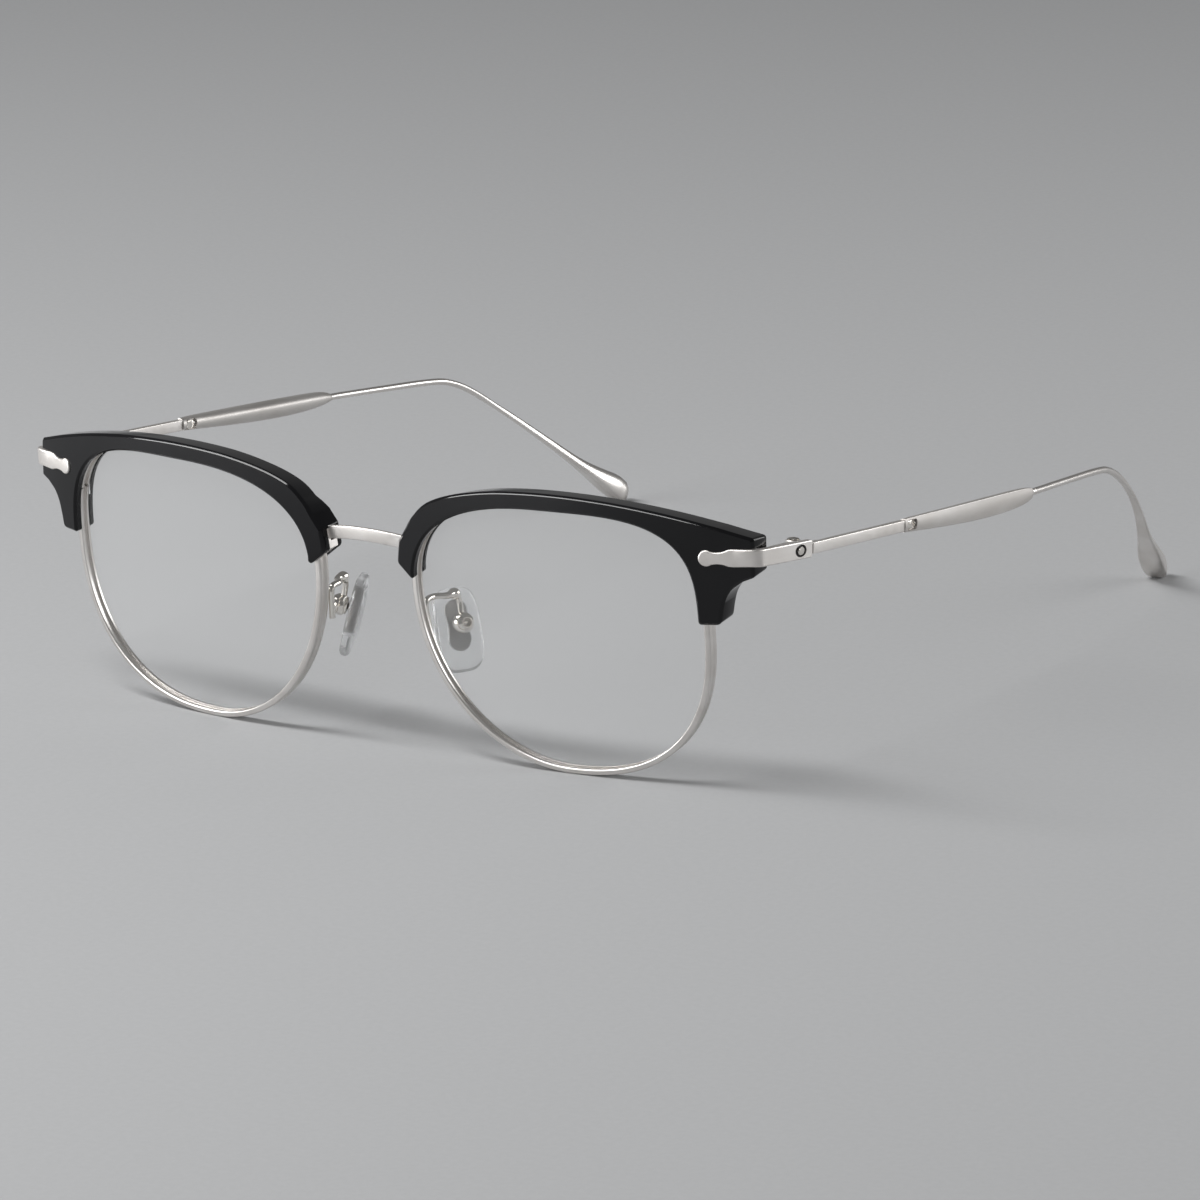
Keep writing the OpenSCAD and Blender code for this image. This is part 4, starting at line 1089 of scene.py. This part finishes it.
def box_plate(x0, x1, y0, y1, z0, z1, radius=0.12):
    """A block of the temple's frame with rounded edges."""
    loop = rounded([[y0, z0], [y1, z0], [y1, z1], [y0, z1]], radius, 4)
    edge = radius * 0.9
    return plate(finer(loop, 0.6), x0, x1, from_side, near_r=edge, far_r=edge, spacing=0.8)


# %% Strap with its leaf, knuckles and the recess for the disc
DISC_AT = HINGE_SET - 2.9
DISC_STRETCH = 1.35
RECESS_R, RECESS_D, RECESS_EDGE_R = 0.98, 0.7, 1.2


def on_side(p):
    """A frame about the middle of the oval disc on the strap's side."""
    return sideways(p * [1, DISC_STRETCH, 1] + [0, DISC_AT, 0])


recess = turned([
    (HINGE_IN - RECESS_D, RECESS_R), (HINGE_IN - 0.06, RECESS_R), (HINGE_IN + 0.3, RECESS_EDGE_R),
], on_side)
leaf = box_plate(0, BAR_IN + 0.25, -LEAF_BACK, -0.3, -LEAF_H / 2, LEAF_H / 2)
half_gap = KNUCKLE_H / 2 + HINGE_GAP
strap = welded(strap_shape(), leaf, pin(KNUCKLE_R, -HINGE_H / 2, HINGE_H / 2))
knuckle_room = pin(KNUCKLE_R + KNUCKLE_ROOM, -half_gap, half_gap, 0)
strap = cut(strap, knuckle_room, pin(PIN_ROOM_R, 0, HINGE_H / 2 + 1, 0), recess)
pair("end_strap_bent", strap, "front", satin, ["end_strap"], sharp=30)

# %% Hinge screw
SLOT_REACH, SLOT_R = 2.0, 0.02
PIN_R, HEAD_NECK_R, HEAD_R = 0.5, 0.85, 0.95


def slotted(shape, tool_place, width, low, high):
    """A screw with a slot of a width across its head, cut between two depths."""
    half = width / 2
    loop = [[-SLOT_REACH, -half], [SLOT_REACH, -half], [SLOT_REACH, half], [-SLOT_REACH, half]]
    return cut(shape, plate(rounded(loop, SLOT_R, 1), low, high, tool_place, 0, 0, 1.0, arc=1))


head_low = HINGE_H / 2 + SEAT
head_high = HINGE_H / 2 + 0.3
hinge_screw = turned([
    (-HINGE_H / 2 + 0.1, PIN_R - 0.1), (-HINGE_H / 2 + 0.2, PIN_R), (head_low, PIN_R),
    (head_low, HEAD_NECK_R), (head_low + 0.08, HEAD_R),
    (head_high - 0.14, HEAD_R), (head_high - 0.03, 0.78), (head_high, 0.5),
], upright)
hinge_screw = slotted(hinge_screw, from_above, 0.3, low=head_high - 0.2, high=head_high + 0.5)
pair("hinge_screw_slotted", hinge_screw, "front", polished, ["hinge_screw"])

# %% Plain disc over a black ring of painted shade in its recess
SHADE_RING_R, SHADE_RING_T, DISC_R, DISC_T = 0.95, 0.28, 0.64, 0.31
floor_of_recess = HINGE_IN - RECESS_D + SEAT
shade_ring_top = floor_of_recess + SHADE_RING_T
# The black ring under the disc is painted shade: it darkens the gap between the disc and the recess's
# wall.
shade_ring = turned([
    (floor_of_recess, SHADE_RING_R - 0.07), (floor_of_recess + 0.05, SHADE_RING_R),
    (shade_ring_top - 0.03, SHADE_RING_R), (shade_ring_top, SHADE_RING_R - 0.05),
], on_side)
pair("disc_painted_shade_ring", shade_ring, "front", acetate, ["side_disc"])
disc = turned([
    (shade_ring_top, DISC_R - 0.04), (shade_ring_top + 0.03, DISC_R), (shade_ring_top + 0.2, DISC_R),
    (shade_ring_top + 0.27, 0.57), (shade_ring_top + 0.3, 0.4), (shade_ring_top + DISC_T, 0.2),
], on_side)
pair("side_disc_plain", disc, "front", polished, ["side_disc"])

# %% [markdown]
# ## Temples
# Behind the hinge a flat bar runs back into a sleeve, and the sleeve holds the ear wire. The bar
# carries the middle knuckle on a tongue that reaches forward between the strap's two. All of it
# is drawn in the temple's own frame, whose origin is on the hinge's axis, because that is how
# the joint will turn it.

# %% Temple bar with its knuckle
SLEEVE_AT, SLEEVE_L = 27.3, 38.7
WINDOW_AT, WINDOW_L, WINDOW_H = 0.7, 2.6, 1.7
BAR_FRONT = HINGE_SET + 0.12
LEAF_T, LEAF_TOP = BAR_IN + 0.05, 0.35
bar = box_plate(BAR_IN, HINGE_IN, BAR_FRONT, SLEEVE_AT + WINDOW_AT, -BAR_H / 2, BAR_H / 2, 0.16)
bar_leaf = box_plate(BAR_IN - LEAF_T + 0.1, BAR_IN + 0.2, BAR_FRONT, LEAF_BACK, -BAR_H / 2, LEAF_TOP, 0.14)
tongue_loop = finer(np.array([
    [-0.7, 0], [KNUCKLE_R - 0.1, 0], [KNUCKLE_R - 0.1, BAR_FRONT], [BAR_IN + 0.1, BAR_FRONT],
    [BAR_IN + 0.1, LEAF_BACK - 0.2], [BAR_IN - LEAF_T + 0.15, LEAF_BACK - 0.2],
]), 1.0)
tongue = plate(tongue_loop, -KNUCKLE_H / 2, KNUCKLE_H / 2, from_above, 0.02, 0.02, 1.0, arc=1)
bar = welded(bar, bar_leaf, tongue, pin(KNUCKLE_R, -KNUCKLE_H / 2, KNUCKLE_H / 2, 0.08))
bar = cut(bar, pin(PIN_ROOM_R, -2, 2, 0))
pair("temple_bar_flat", bar, "temple", satin, ["temple_bar"], sharp=30)

# %% [markdown]
# The sleeve is nearly flat outside and full inside, and deepest past its middle. Its section is
# given at a few stops along its length, and a loft runs over all of them. A little window goes
# through it near its front, and there a bright block shows, let into the dark. Sections that
# change along a path are what a loft is for: no modifier gives this shape.

# %% Section of the sleeve
SLEEVE_TURN = math.radians(2)
WIRE_R = 0.55
BAR_MID = HINGE_IN - BAR_T / 2
SLEEVE_END = SLEEVE_AT + SLEEVE_L
FACE_CROWN, FULLNESS = 0.12, 0.87


def sleeve_mid(y):
    """How far out the sleeve's middle lies: it turns in a little towards the ear."""
    return BAR_MID - (y - SLEEVE_AT) * math.tan(SLEEVE_TURN)


def d_section(flat, full, low, high, radius=0.16):
    """A section that is flat on one side and full on the other, as 64 rows of (out, up)."""
    half = np.linspace(0, math.pi, 42)
    c = np.cos(half)
    round_side = np.column_stack([
        flat - radius - (full + flat - radius) * np.sin(half) ** FULLNESS,
        np.where(c > 0, high, low) * np.sign(c) * np.abs(c) ** FULLNESS,
    ])
    turn = np.linspace(0, math.pi / 2, 8)[1:]
    corner_out = flat - radius + radius * np.sin(turn)
    low_corner = np.column_stack([corner_out, -low + radius - radius * np.cos(turn)])
    rise = np.linspace(-1, 1, 10)[1:-1]
    face = np.column_stack([
        flat + FACE_CROWN * (1 - rise ** 2),
        (high + low - 2 * radius) * (rise + 1) / 2 - low + radius,
    ])
    high_corner = np.column_stack([corner_out[::-1], high - radius + radius * np.cos(turn[::-1])])
    return np.vstack([round_side, low_corner, face, high_corner])


# %% Sections along the sleeve
SLEEVE_STOPS = [0, 0.06, 0.2, 0.35, 0.5, 0.62, 0.75, 0.85, 0.92, 0.96, 0.985, 1]
SLEEVE_TOPS = [1.12, 1.2, 1.21, 1.22, 1.22, 1.22, 1.21, 1.19, 1.13, 1.04, 0.9, 0.68]
SLEEVE_LOWS = [1.0, 1.12, 1.4, 1.68, 1.88, 1.96, 1.9, 1.72, 1.46, 1.2, 0.94, 0.68]
SLEEVE_FULL = [0.84, 0.86, 0.93, 0.98, 1.0, 1.0, 0.98, 0.95, 0.9, 0.84, 0.76, 0.66]
SLEEVE_FLAT = [0.5, 0.62, 0.82, 0.93, 1.0, 1.0, 0.98, 0.95, 0.92, 0.88, 0.8, 0.66]


def sleeve_rings():
    """The sleeve's sections, smoothed along its length and closer together at its end."""
    stops = np.concatenate([np.linspace(0, 0.9, 46), np.linspace(0.91, 1, 19)])
    blur = np.linspace(-0.03, 0.03, 9)
    rings = []
    for t in stops:
        reach = min(1.0, (1 - t) / 0.03)
        flat, full, low, high = (
            float(np.mean([np.interp(t + k * reach, SLEEVE_STOPS, row) for k in blur]))
            for row in (SLEEVE_FLAT, SLEEVE_FULL, SLEEVE_LOWS, SLEEVE_TOPS)
        )
        shape = d_section(flat, full, low, high)
        y = SLEEVE_AT + t * SLEEVE_L
        out_and_up = [sleeve_mid(y) + shape[:, 0], np.full(len(shape), y), shape[:, 1]]
        rings.append(on_temple(np.column_stack(out_and_up)))
    return rings


# %% Window, sockets and the block in the window
WINDOW_R = 0.45
window_front = SLEEVE_AT + WINDOW_AT
half_h = WINDOW_H / 2
window = rounded([[0, -half_h], [WINDOW_L, -half_h], [WINDOW_L, half_h], [0, half_h]], WINDOW_R)
window_tool = plate(window + [window_front, 0], -4, 8, from_side, 0, 0, 1.0, arc=1)
socket = box_plate(BAR_IN - SEAT, HINGE_IN + SEAT, SLEEVE_AT - 1, window_front + 1,
                   -BAR_H / 2 - SEAT, BAR_H / 2 + SEAT, 0.14)
wire_front = window_front + WINDOW_L - 0.4
bore_line = np.array([[sleeve_mid(y), y, 0] for y in (wire_front - 1, SLEEVE_END + 2)])
bore = wire(on_temple(bore_line), WIRE_R + SEAT, 32)
sleeve = cut(loft(sleeve_rings()), window_tool, socket, bore)
pair("temple_sleeve_d", sleeve, "temple", blasted, ["temple_sleeve"], sharp=28)
key_front, key_back = window_front + 0.3, window_front + 1.65
key = box_plate(BAR_IN - 0.2, HINGE_IN - 0.12, key_front, key_back, -0.62, 0.7, 0.22)
key_groove = box_plate(BAR_IN, HINGE_IN + 1, window_front, window_front + WINDOW_L, 0.2, 0.34, 0.03)
key = cut(key, key_groove)
pair("sleeve_key_block", key, "temple", polished, ["sleeve_key"], sharp=28)

# %% [markdown]
# The ear wire is round as far as the ear, and from there it is swaged in a die: flat below, full
# above, and wider towards the drop that it stands on. So its section changes along its path as
# the sleeve's does. Half widths and thicknesses are given at distances from the tip, where the
# shape is, and not from the sleeve, where there is only wire.

# %% Path of the ear wire
BEND_AT = 97
WIRE_WAY = np.array([
    [sleeve_mid(wire_front), wire_front, 0],
    [sleeve_mid(SLEEVE_END - 2), SLEEVE_END - 2, 0],
    [sleeve_mid(SLEEVE_END + 2), SLEEVE_END + 2, 0],
    [BAR_MID - 2.6, SLEEVE_END + (BEND_AT - SLEEVE_END) * 0.38, 0],
    [BAR_MID - 4.2, BEND_AT - 6.5, -0.1],
    [BAR_MID - 5, BEND_AT - 1.5, -0.7],
    [BAR_MID - 5.9, BEND_AT + 3.5, -2.5],
    [BAR_MID - 7.2, BEND_AT + 9, -5.5],
    [BAR_MID - 9.5, BEND_AT + 15.5, -9.5],
    [BAR_MID - 12.1, BEND_AT + 21.5, -13.5],
    [BAR_MID - 14.3, BEND_AT + 27, -17.2],
    [BAR_MID - 15.7, BEND_AT + 31, -19.8],
    [BAR_MID - 16.5, BEND_AT + 33.6, -21.5],
])
print("ear wire bends", BEND_AT, "mm behind the hinge")

# %% Section of the ear wire
TIP_LEFT = [2.2, 3.7, 5, 6.9, 10.2, 13.4, 16.7, 24, 32, 40]
TIP_THICK = [2.3, 2.35, 2.15, 1.8, 1.25, 0.95, 0.84, 0.68, WIRE_R, WIRE_R]
TIP_WIDE = [1.9, 2.05, 2.1, 2.05, 1.75, 1.3, 1.0, 0.72, WIRE_R, WIRE_R]
SWAGED_FROM, SWAGED_OVER = 37, 8


def wire_sizes(left):
    """Half sizes across and up at a distance from the tip, and how far the section is swaged."""
    blur = np.linspace(-1.2, 1.2, 9) if left > 3.4 else np.zeros(1)
    thick = float(np.mean(np.interp(left + blur, TIP_LEFT, TIP_THICK)))
    wide = float(np.mean(np.interp(left + blur, TIP_LEFT, TIP_WIDE)))
    closing = 1.0
    if left < TIP_LEFT[0]:
        closing = math.sqrt(max(0.0004, 1 - (1 - left / TIP_LEFT[0]) ** 2))
    swaged = min(1.0, max(0.0, (SWAGED_FROM - left) / SWAGED_OVER))
    return wide * closing, thick * closing, swaged


def swaged_section(wide, thick, swaged, count=48):
    """From round wire to a section with a flat face below and a full side above."""
    angle = np.arange(count) * 2 * math.pi / count
    c, s = np.cos(angle), np.sin(angle)
    below = s < 0
    power = np.where(below, 1 - 0.62 * swaged, 1.0)
    across = wide * np.sign(c) * np.abs(c) ** power
    depth = np.where(below, 1 - 0.55 * swaged, 1 + 0.25 * swaged)
    up = thick * depth * np.sign(s) * np.abs(s) ** np.where(below, 1 - 0.3 * swaged, 1.0)
    return across, up


# %% The wire, drawn down until its drop stands on the table
def ear_wire(stretch):
    """The wire's sections, with its fall stretched by a share."""
    way = WIRE_WAY * [1, 1, stretch]
    path = smooth(way, 10)
    near_tip = path[-1] - (path[-1] - path[-11]) * (np.linspace(1, 0, 16) ** 2)[:, None]
    path = np.vstack([path[:-11], near_tip])
    left = along(path)[-1] - along(path)
    rings = []
    for i, p in enumerate(path):
        way = path[min(i + 1, len(path) - 1)] - path[max(i - 1, 0)]
        way = way / np.linalg.norm(way)
        across = np.cross(way, [0, 0, 1])
        across /= np.linalg.norm(across)
        up = np.cross(across, way)
        sideways_by, up_by = swaged_section(*wire_sizes(left[i]))
        rings.append(p + np.outer(sideways_by, across) + np.outer(up_by, up))
    return np.array([on_temple(r) for r in rings])


fall = -WIRE_WAY[-1][2] * math.cos(SLOPE)
stretch = 1.0
for _ in range(4):
    stretch += ear_wire(stretch)[..., 2].min() / fall
ear = loft(ear_wire(stretch))
print("wire drawn out by", round(stretch, 4), "so that its drop stands on the table")
pair("ear_wire_swaged", ear, "temple", drawn, ["ear_wire"], sharp=40)

# %% [markdown]
# ## Bridge
# The bridge is a flat strap, arched and brazed to a foot beside each rim. The brows close over
# the feet, so only the strap and the edge of each foot show, in the slots. The strap is cut to
# its arch first and then bowed, so both bends stay plain formulas that can be read and changed.

# %% Where the bridge meets the rims
BRIDGE_H, BRIDGE_T, BRIDGE_RISE, BRIDGE_DROP = 2.15, 0.75, 1.1, 9.5
BRIDGE_SET, BRIDGE_BOW = 0.58, 1.4
FOOT_W = 1.3
BRIDGE_V = EYE_TOP - BRIDGE_DROP
SQUARE_NOSE = SQUARE["top_nose"]
height = (BRIDGE_V - RIM_W - WAIST_NOSE) / (EYE_H - WAIST_NOSE)
nose_edge = NOSE_U * (1 - height ** SQUARE_NOSE) ** (1 / SQUARE_NOSE)
FOOT_U = nose_edge - RIM_W - FOOT_W / 2
foot_mid = on_front(np.array([FOOT_U]), RIM_D / 2 - RIM_PROUD, np.array([BRIDGE_V]))[0]


# %% Feet in the brows' slots
def foot_plate(top, near, far):
    """A plate that fills the nose slot from the brow's lower edge to a height."""
    end = NOSE_U - NOSE_W
    low = EYE_TOP - NOSE_DROP
    line = np.array([p for p in grown(eye, RIM_W + SEAT) if p[0] < 0 and low + 0.75 < p[1] < top])
    slant = (top - low - NOSE_CUT) / (NOSE_CORNER - low - NOSE_CUT)
    side = [end + 0.08 + NOSE_CUT_W * slant, top]
    shape = np.vstack([line[::-1], [side], [[end + 0.12, low + 2.72]]])
    if area(shape) < 0:
        shape = shape[::-1]
    return plate(finer(shape, 0.6), near, far, curved, 0.08, 0.08, 1.0)


foot = foot_plate(BRIDGE_V - BRIDGE_H / 2 + 0.15, SEAT - RIM_PROUD, RIM_REAR - 0.05)
flange = foot_plate(SLOT_TOP - 0.1, SEAT - RIM_PROUD, SEAT - RIM_PROUD + 0.6)

# %% Arched strap
xs = np.linspace(-1, 1, 41)
arch_line = foot_mid[2] + BRIDGE_RISE * (1 - xs ** 2)
arch_loop = np.vstack([
    np.column_stack([xs * foot_mid[0], arch_line - BRIDGE_H / 2]),
    np.column_stack([xs[::-1] * foot_mid[0], arch_line[::-1] + BRIDGE_H / 2]),
])


def bowed(x, z, y):
    """The strap is bowed forward a little, as the bridge of a nose is, and leans as the front does."""
    lean = (z - foot_mid[2]) * math.tan(TILT)
    return np.stack([x, y - lean + BRIDGE_SET - BRIDGE_BOW * (1 - (x / foot_mid[0]) ** 2), z], -1)


half_t = BRIDGE_T / 2
arch = plate(finer(arch_loop, 0.6), foot_mid[1] - half_t, foot_mid[1] + half_t, bowed, 0.2, 0.2, 0.8)
feet = [foot, flange]
feet += [Shape(one.points * [-1, 1, 1], one.faces) for one in (foot, flange)]
bridge = as_object("bridge_arched", welded(arch, *feet), sharp=30)
bridge.data.materials.append(satin)
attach(bridge, "front")
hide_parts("bridge")
print("bridge:", round(2 * foot_mid[0], 2), "mm between the middles of its feet")

# %% [markdown]
# ## Nose pads
# A pad arm is one wire: it is brazed up the back of the rim, loops back over, and comes down
# into a round box. The box holds a ball on the stud of a metal plate, and clear silicone is
# moulded round the plate. The pad has a frame of its own on the ball, because it rocks there.

# %% The pad's frame
PAD_FLARE, PAD_LEAN = math.radians(28), math.radians(15.7)
PAD_H, PAD_W, PAD_T, PAD_SET, PAD_LOW = 13.3, 8, 1.7, 2.35, 1
PLATE_T, PLATE_R, BALL_R, STUD_R, ARM_R = 0.6, 1.95, 0.8, 0.5, 0.5


def turned_by(a, b, angle):
    """Two coordinates after a turn in their plane."""
    return a * math.cos(angle) - b * math.sin(angle), a * math.sin(angle) + b * math.cos(angle)


def on_pad(p):
    """A point of the pad's frame: away from the nose, along the pad's width, and up."""
    x, y, z = p[..., 0], p[..., 1], p[..., 2]
    x, z = turned_by(x, z, PAD_LEAN)
    x, y = turned_by(x, y, -PAD_FLARE)
    return PAD_BALL + np.stack([x, y, z], -1)


def pad_from_side(y, z, x):
    """A plate that is drawn from the nose: along the pad's width and up, with its depth away."""
    return on_pad(np.stack([x, y, z], -1))


# %% Pad arm
ARM_V, LEG_L = 25.6, 6
KNOB_AT, KNOB_R, KNOB_L = 7.3, 0.42, 0.75
ARM_STEPS = 8


def leg_at(v, shift):
    """A point of the arm's leg, on the back of the rim at the nose."""
    u = NOSE_U - RIM_W / 2
    y = depth_at(u, v, RIM_REAR + ARM_R + SEAT)
    return (leaned(np.array([u + shift]), np.array([y]), np.array([v])) - [0, mid_y, rim_low])[0]


arm_top = leg_at(ARM_V - 0.75, 0)
ARM_WAY = [
    leg_at(ARM_V - LEG_L, 0.35), leg_at(ARM_V - LEG_L * 0.67, 0.15), leg_at(ARM_V - LEG_L * 0.33, 0),
    leg_at(ARM_V - 1.4, 0) + [0, 0.1, 0], arm_top + [0, 0.7, 0], arm_top + [0.1, 2.4, 0.1],
    PAD_BALL + [-1.2, -2.3, 4.8], PAD_BALL + [-1.05, -0.8, 4.8], PAD_BALL + [-0.95, 0, 4.2],
    PAD_BALL + [-0.8, 0.3, 3.4], PAD_BALL + [-0.65, 0.3, 2.6], PAD_BALL + [-0.5, 0.2, 1.6],
]
arm_path = smooth(ARM_WAY, ARM_STEPS)
knob = math.e ** -(((np.arange(len(arm_path)) / ARM_STEPS - KNOB_AT) / KNOB_L) ** 2)
arm = wire(arm_path, ARM_R + KNOB_R * knob, 24)
pair("pad_arm_wire", arm, "front", polished, ["pad_arm"])

# %% Pad box with the hole for its screw
BOX_BULGE, BALL_ROOM, BOX_SIDES = 1.72, 0.12, 64
socket_r = BALL_R + BALL_ROOM
ball_angles = np.radians(np.arange(-24, 57, 6))
ball_side = [(0.1 + BOX_BULGE * math.sin(a), BOX_BULGE * math.cos(a)) for a in ball_angles]
box = turned([(-1.05, 1.2), (-1.0, 1.36), (-0.88, 1.42), (-0.7, 1.36)] + ball_side
             + [(1.6, 0.92), (1.65, 0.84), (1.65, 0.72)], on_pad, BOX_SIDES)
hollow = turned([
    (-2, socket_r), (0, socket_r), (0.5, socket_r * 0.84), (0.8, socket_r * 0.5), (socket_r, 0.5),
    (0.93, 0.64), (1.6, 0.65), (1.67, 0.69), (3, 0.69),
], on_pad, BOX_SIDES)
arm_end = arm_path[-1]
arm_way = arm_path[-1] - arm_path[-4]
arm_way /= np.linalg.norm(arm_way)
arm_hole = wire(np.array([arm_end + arm_way * SEAT, arm_end - arm_way * 3]), ARM_R + SEAT, 24)
pair("pad_box_cup", cut(box, hollow, arm_hole), "front", polished, ["pad_box"])
screw = turned([(0.94, 0.4), (0.96, 0.46), (1.06, 0.46), (1.1, 0.4), (1.11, 0.1)], on_pad, 32)
screw = slotted(screw, lambda x, y, d: on_pad(np.stack([d, x, y], -1)), 0.2, low=1.02, high=2)
pair("pad_screw_slotted", screw, "front", polished, ["pad_screw"])

# %% Metal plate with its stud and ball
PEANUT_HIGH, PEANUT_LOW = 2.85, -1.4


def peanut(radius, waist):
    """The plate's outline: two round ends and a waist between them."""
    top = [[radius * math.cos(a), PEANUT_HIGH - PAD_LOW + radius * math.sin(a)]
           for a in np.radians(np.arange(-20, 201, 10))]
    low = [[radius * math.cos(a), PEANUT_LOW - PAD_LOW + radius * math.sin(a)]
           for a in np.radians(np.arange(160, 381, 10))]
    middle = (PEANUT_HIGH + PEANUT_LOW) / 2 - PAD_LOW
    return np.vstack([top, [[-waist, middle]], low, [[waist, middle]]])


plate_loop = finer(peanut(PLATE_R - 0.01, PLATE_R - 0.32), 0.5)
plate_low, plate_high = -PAD_SET - PLATE_T / 2, -PAD_SET + PLATE_T / 2
pad_plate = plate(plate_loop, plate_low, plate_high, pad_from_side, 0.15, 0.26, 0.7)
ball = [(-BALL_R * math.cos(a), BALL_R * math.sin(a)) for a in np.radians(np.arange(40, 176, 9))]
stud = turned([(-PAD_SET, STUD_R - 0.02), (-PAD_SET + PLATE_T, STUD_R)] + ball, on_pad)
pair("pad_plate_peanut", welded(pad_plate, stud), "pad", matte, ["pad_plate"])


# %% Clear silicone
PAD_EDGE, PAD_DOME = 0.75, 0.5
BEAD_AT, BEAD_H = 0.72, 0.1


def pad_loop(shrink, count=96):
    """The pad's outline: a rectangle with very round corners, shrunk by a distance."""
    angle = np.arange(count) * 2 * math.pi / count
    c, s = np.cos(angle), np.sin(angle)
    y = np.sign(c) * (PAD_W / 2 - shrink) * np.abs(c) ** 0.55
    z = np.sign(s) * (PAD_H / 2 - shrink) * np.abs(s) ** 0.7 - PAD_LOW
    return evenly(np.column_stack([y, z]), count)


def pad_shape():
    """Rows of loops from the middle of the nose side, round the edge, to the middle of the other side."""
    rows = []
    for k in np.linspace(0.03, 1, 10):
        loop = (pad_loop(PAD_EDGE) + [0, PAD_LOW]) * k + [0, -PAD_LOW]
        bead = BEAD_H * math.exp(-((k - BEAD_AT) / 0.12) ** 2)
        rows.append((loop, -PAD_T / 2 - PAD_DOME * (1 - k ** 2) - bead))
    for t in np.sin(np.linspace(-1, 1, 17)[1:-1] * math.pi / 2):
        rows.append((pad_loop(PAD_EDGE * (1 - math.sqrt(max(0, 1 - abs(t) ** 2.2)))), t * PAD_T / 2))
    for k in np.linspace(1, 0.03, 10):
        loop = (pad_loop(PAD_EDGE) + [0, PAD_LOW]) * k + [0, -PAD_LOW]
        rows.append((loop, PAD_T / 2 + BEAD_H * math.exp(-((k - BEAD_AT - 0.1) / 0.1) ** 2)))
    return loft([on_pad(np.column_stack([np.full(len(loop), x - PAD_SET), loop])) for loop, x in rows])


room_loop = finer(peanut(PLATE_R + SEAT, PLATE_R - 0.28), 0.5)
plate_room = plate(room_loop, plate_low - SEAT, plate_high + SEAT, pad_from_side, 0.05, 0.05, 0.7, arc=1)
stud_room = turned([(-PAD_SET, STUD_R + SEAT), (2, STUD_R + SEAT)], on_pad, 32)
pad = cut(pad_shape(), welded(plate_room, stud_room))
pair("nose_pad_clear", pad, "pad", silicone, ["nose_pad"])

# %% [markdown]
# ## Small parts that stay as the CAD made them
# The rim locks, their screws and the screws that hold the brows sit in pockets at the back of
# the front. They are already right in the CAD model, so they only need their finish.

# %% Finishes of the remaining nodes
RIM_LOCKS = ("rim_lock_left", "rim_lock_right")
for name, node in frame["nodes"].items():
    if node.hide_render:
        continue
    node.data.materials.clear()
    node.data.materials.append(satin if name in RIM_LOCKS else polished)
    print("kept from the CAD:", name)

# %% [markdown]
# ## Studio
# Small polished goods are lit by what they reflect. A long narrow strip overhead, a little to
# the front and left, lies where the bevel along the brows mirrors it, and draws their thin white
# line. A low soft box in front on the left fills the faces that look forward, another behind on
# the right fills the temple's side, and between them it stays dimmer, so that the end strap
# darkens where it turns its corner. The floor is one plain pale sheet that runs far out on all
# sides, so that every view has the same ground.

# %% Floor
FLOOR_COLOUR = (0.40, 0.404, 0.41)
FLOOR_DRIFT = 0.015
FLOOR_REACH = 9


def make_floor():
    mesh = bpy.data.meshes.new("studio_floor")
    corners = [(x * FLOOR_REACH, y * FLOOR_REACH, 0.0) for x, y in ((-1, -1), (1, -1), (1, 1), (-1, 1))]
    mesh.from_pydata(corners, [], [(0, 1, 2, 3)])
    floor = bpy.data.objects.new("studio_floor", mesh)
    bpy.context.scene.collection.objects.link(floor)
    material, shader = finish("studio_paper", FLOOR_COLOUR, 0, 0.75)
    paper = grain(material, 900, (1, 1, 1), 4)
    darker = tuple((1 - FLOOR_DRIFT) * c for c in FLOOR_COLOUR)
    lighter = tuple((1 + FLOOR_DRIFT) * c for c in FLOOR_COLOUR)
    tinted(material, shader, paper, darker, lighter)
    floor.data.materials.append(material)


make_floor()

# %% Lamps and world
AIM = Vector((0, -70, 36))
AIR = 0.18


def lamp(name, way, distance, along_way, wide, high, power):
    """A soft box in a direction from the middle of the brows, whose long side runs along another."""
    back = Vector(way).normalized()
    long_side = Vector(along_way)
    long_side = (long_side - back * long_side.dot(back)).normalized()
    short_side = back.cross(long_side)
    light = bpy.data.lights.new(name, "AREA")
    light.shape = "RECTANGLE"
    light.size, light.size_y = wide * MM, high * MM
    light.energy = power
    made = bpy.data.objects.new(name, light)
    turn = Matrix((long_side, short_side, back)).transposed()
    made.matrix_world = Matrix.Translation((AIM + back * distance) * MM) @ turn.to_4x4()
    bpy.context.scene.collection.objects.link(made)


lamp("strip_above", (-0.42, -0.31, 0.853), 950, (0.90, -0.267, 0.352), 1140, 180, 9.6)
lamp("box_front_left", (-0.65, -0.74, 0.16), 760, (0.74, -0.65, 0), 700, 280, 4.5)
lamp("box_rear_right", (0.69, 0.68, 0.22), 760, (0.68, -0.69, 0), 560, 300, 2.2)
world = bpy.data.worlds.new("studio_air")
world.use_nodes = True
world.node_tree.nodes["Background"].inputs["Color"].default_value = (1, 1, 1, 1)
world.node_tree.nodes["Background"].inputs["Strength"].default_value = AIR
bpy.context.scene.world = world
bpy.context.scene.view_settings.view_transform = "Standard"

# %% Camera object
across, up, back = camera_axes()
spot = back * DISTANCE + across * AIM_ACROSS + up * AIM_UP - Vector((0, mid_y, 0))
lens_data = bpy.data.cameras.new("camera")
lens_data.sensor_width = SENSOR
lens_data.lens = FOCAL_PIXELS / PICTURE_PIXELS * SENSOR
lens_data.clip_start, lens_data.clip_end = NEAREST, FARTHEST
camera = bpy.data.objects.new("camera", lens_data)
camera.matrix_world = Matrix((
    (across.x, up.x, back.x, spot.x * MM),
    (across.y, up.y, back.y, spot.y * MM),
    (across.z, up.z, back.z, spot.z * MM),
    (0, 0, 0, 1),
))
bpy.context.scene.collection.objects.link(camera)
bpy.context.scene.camera = camera
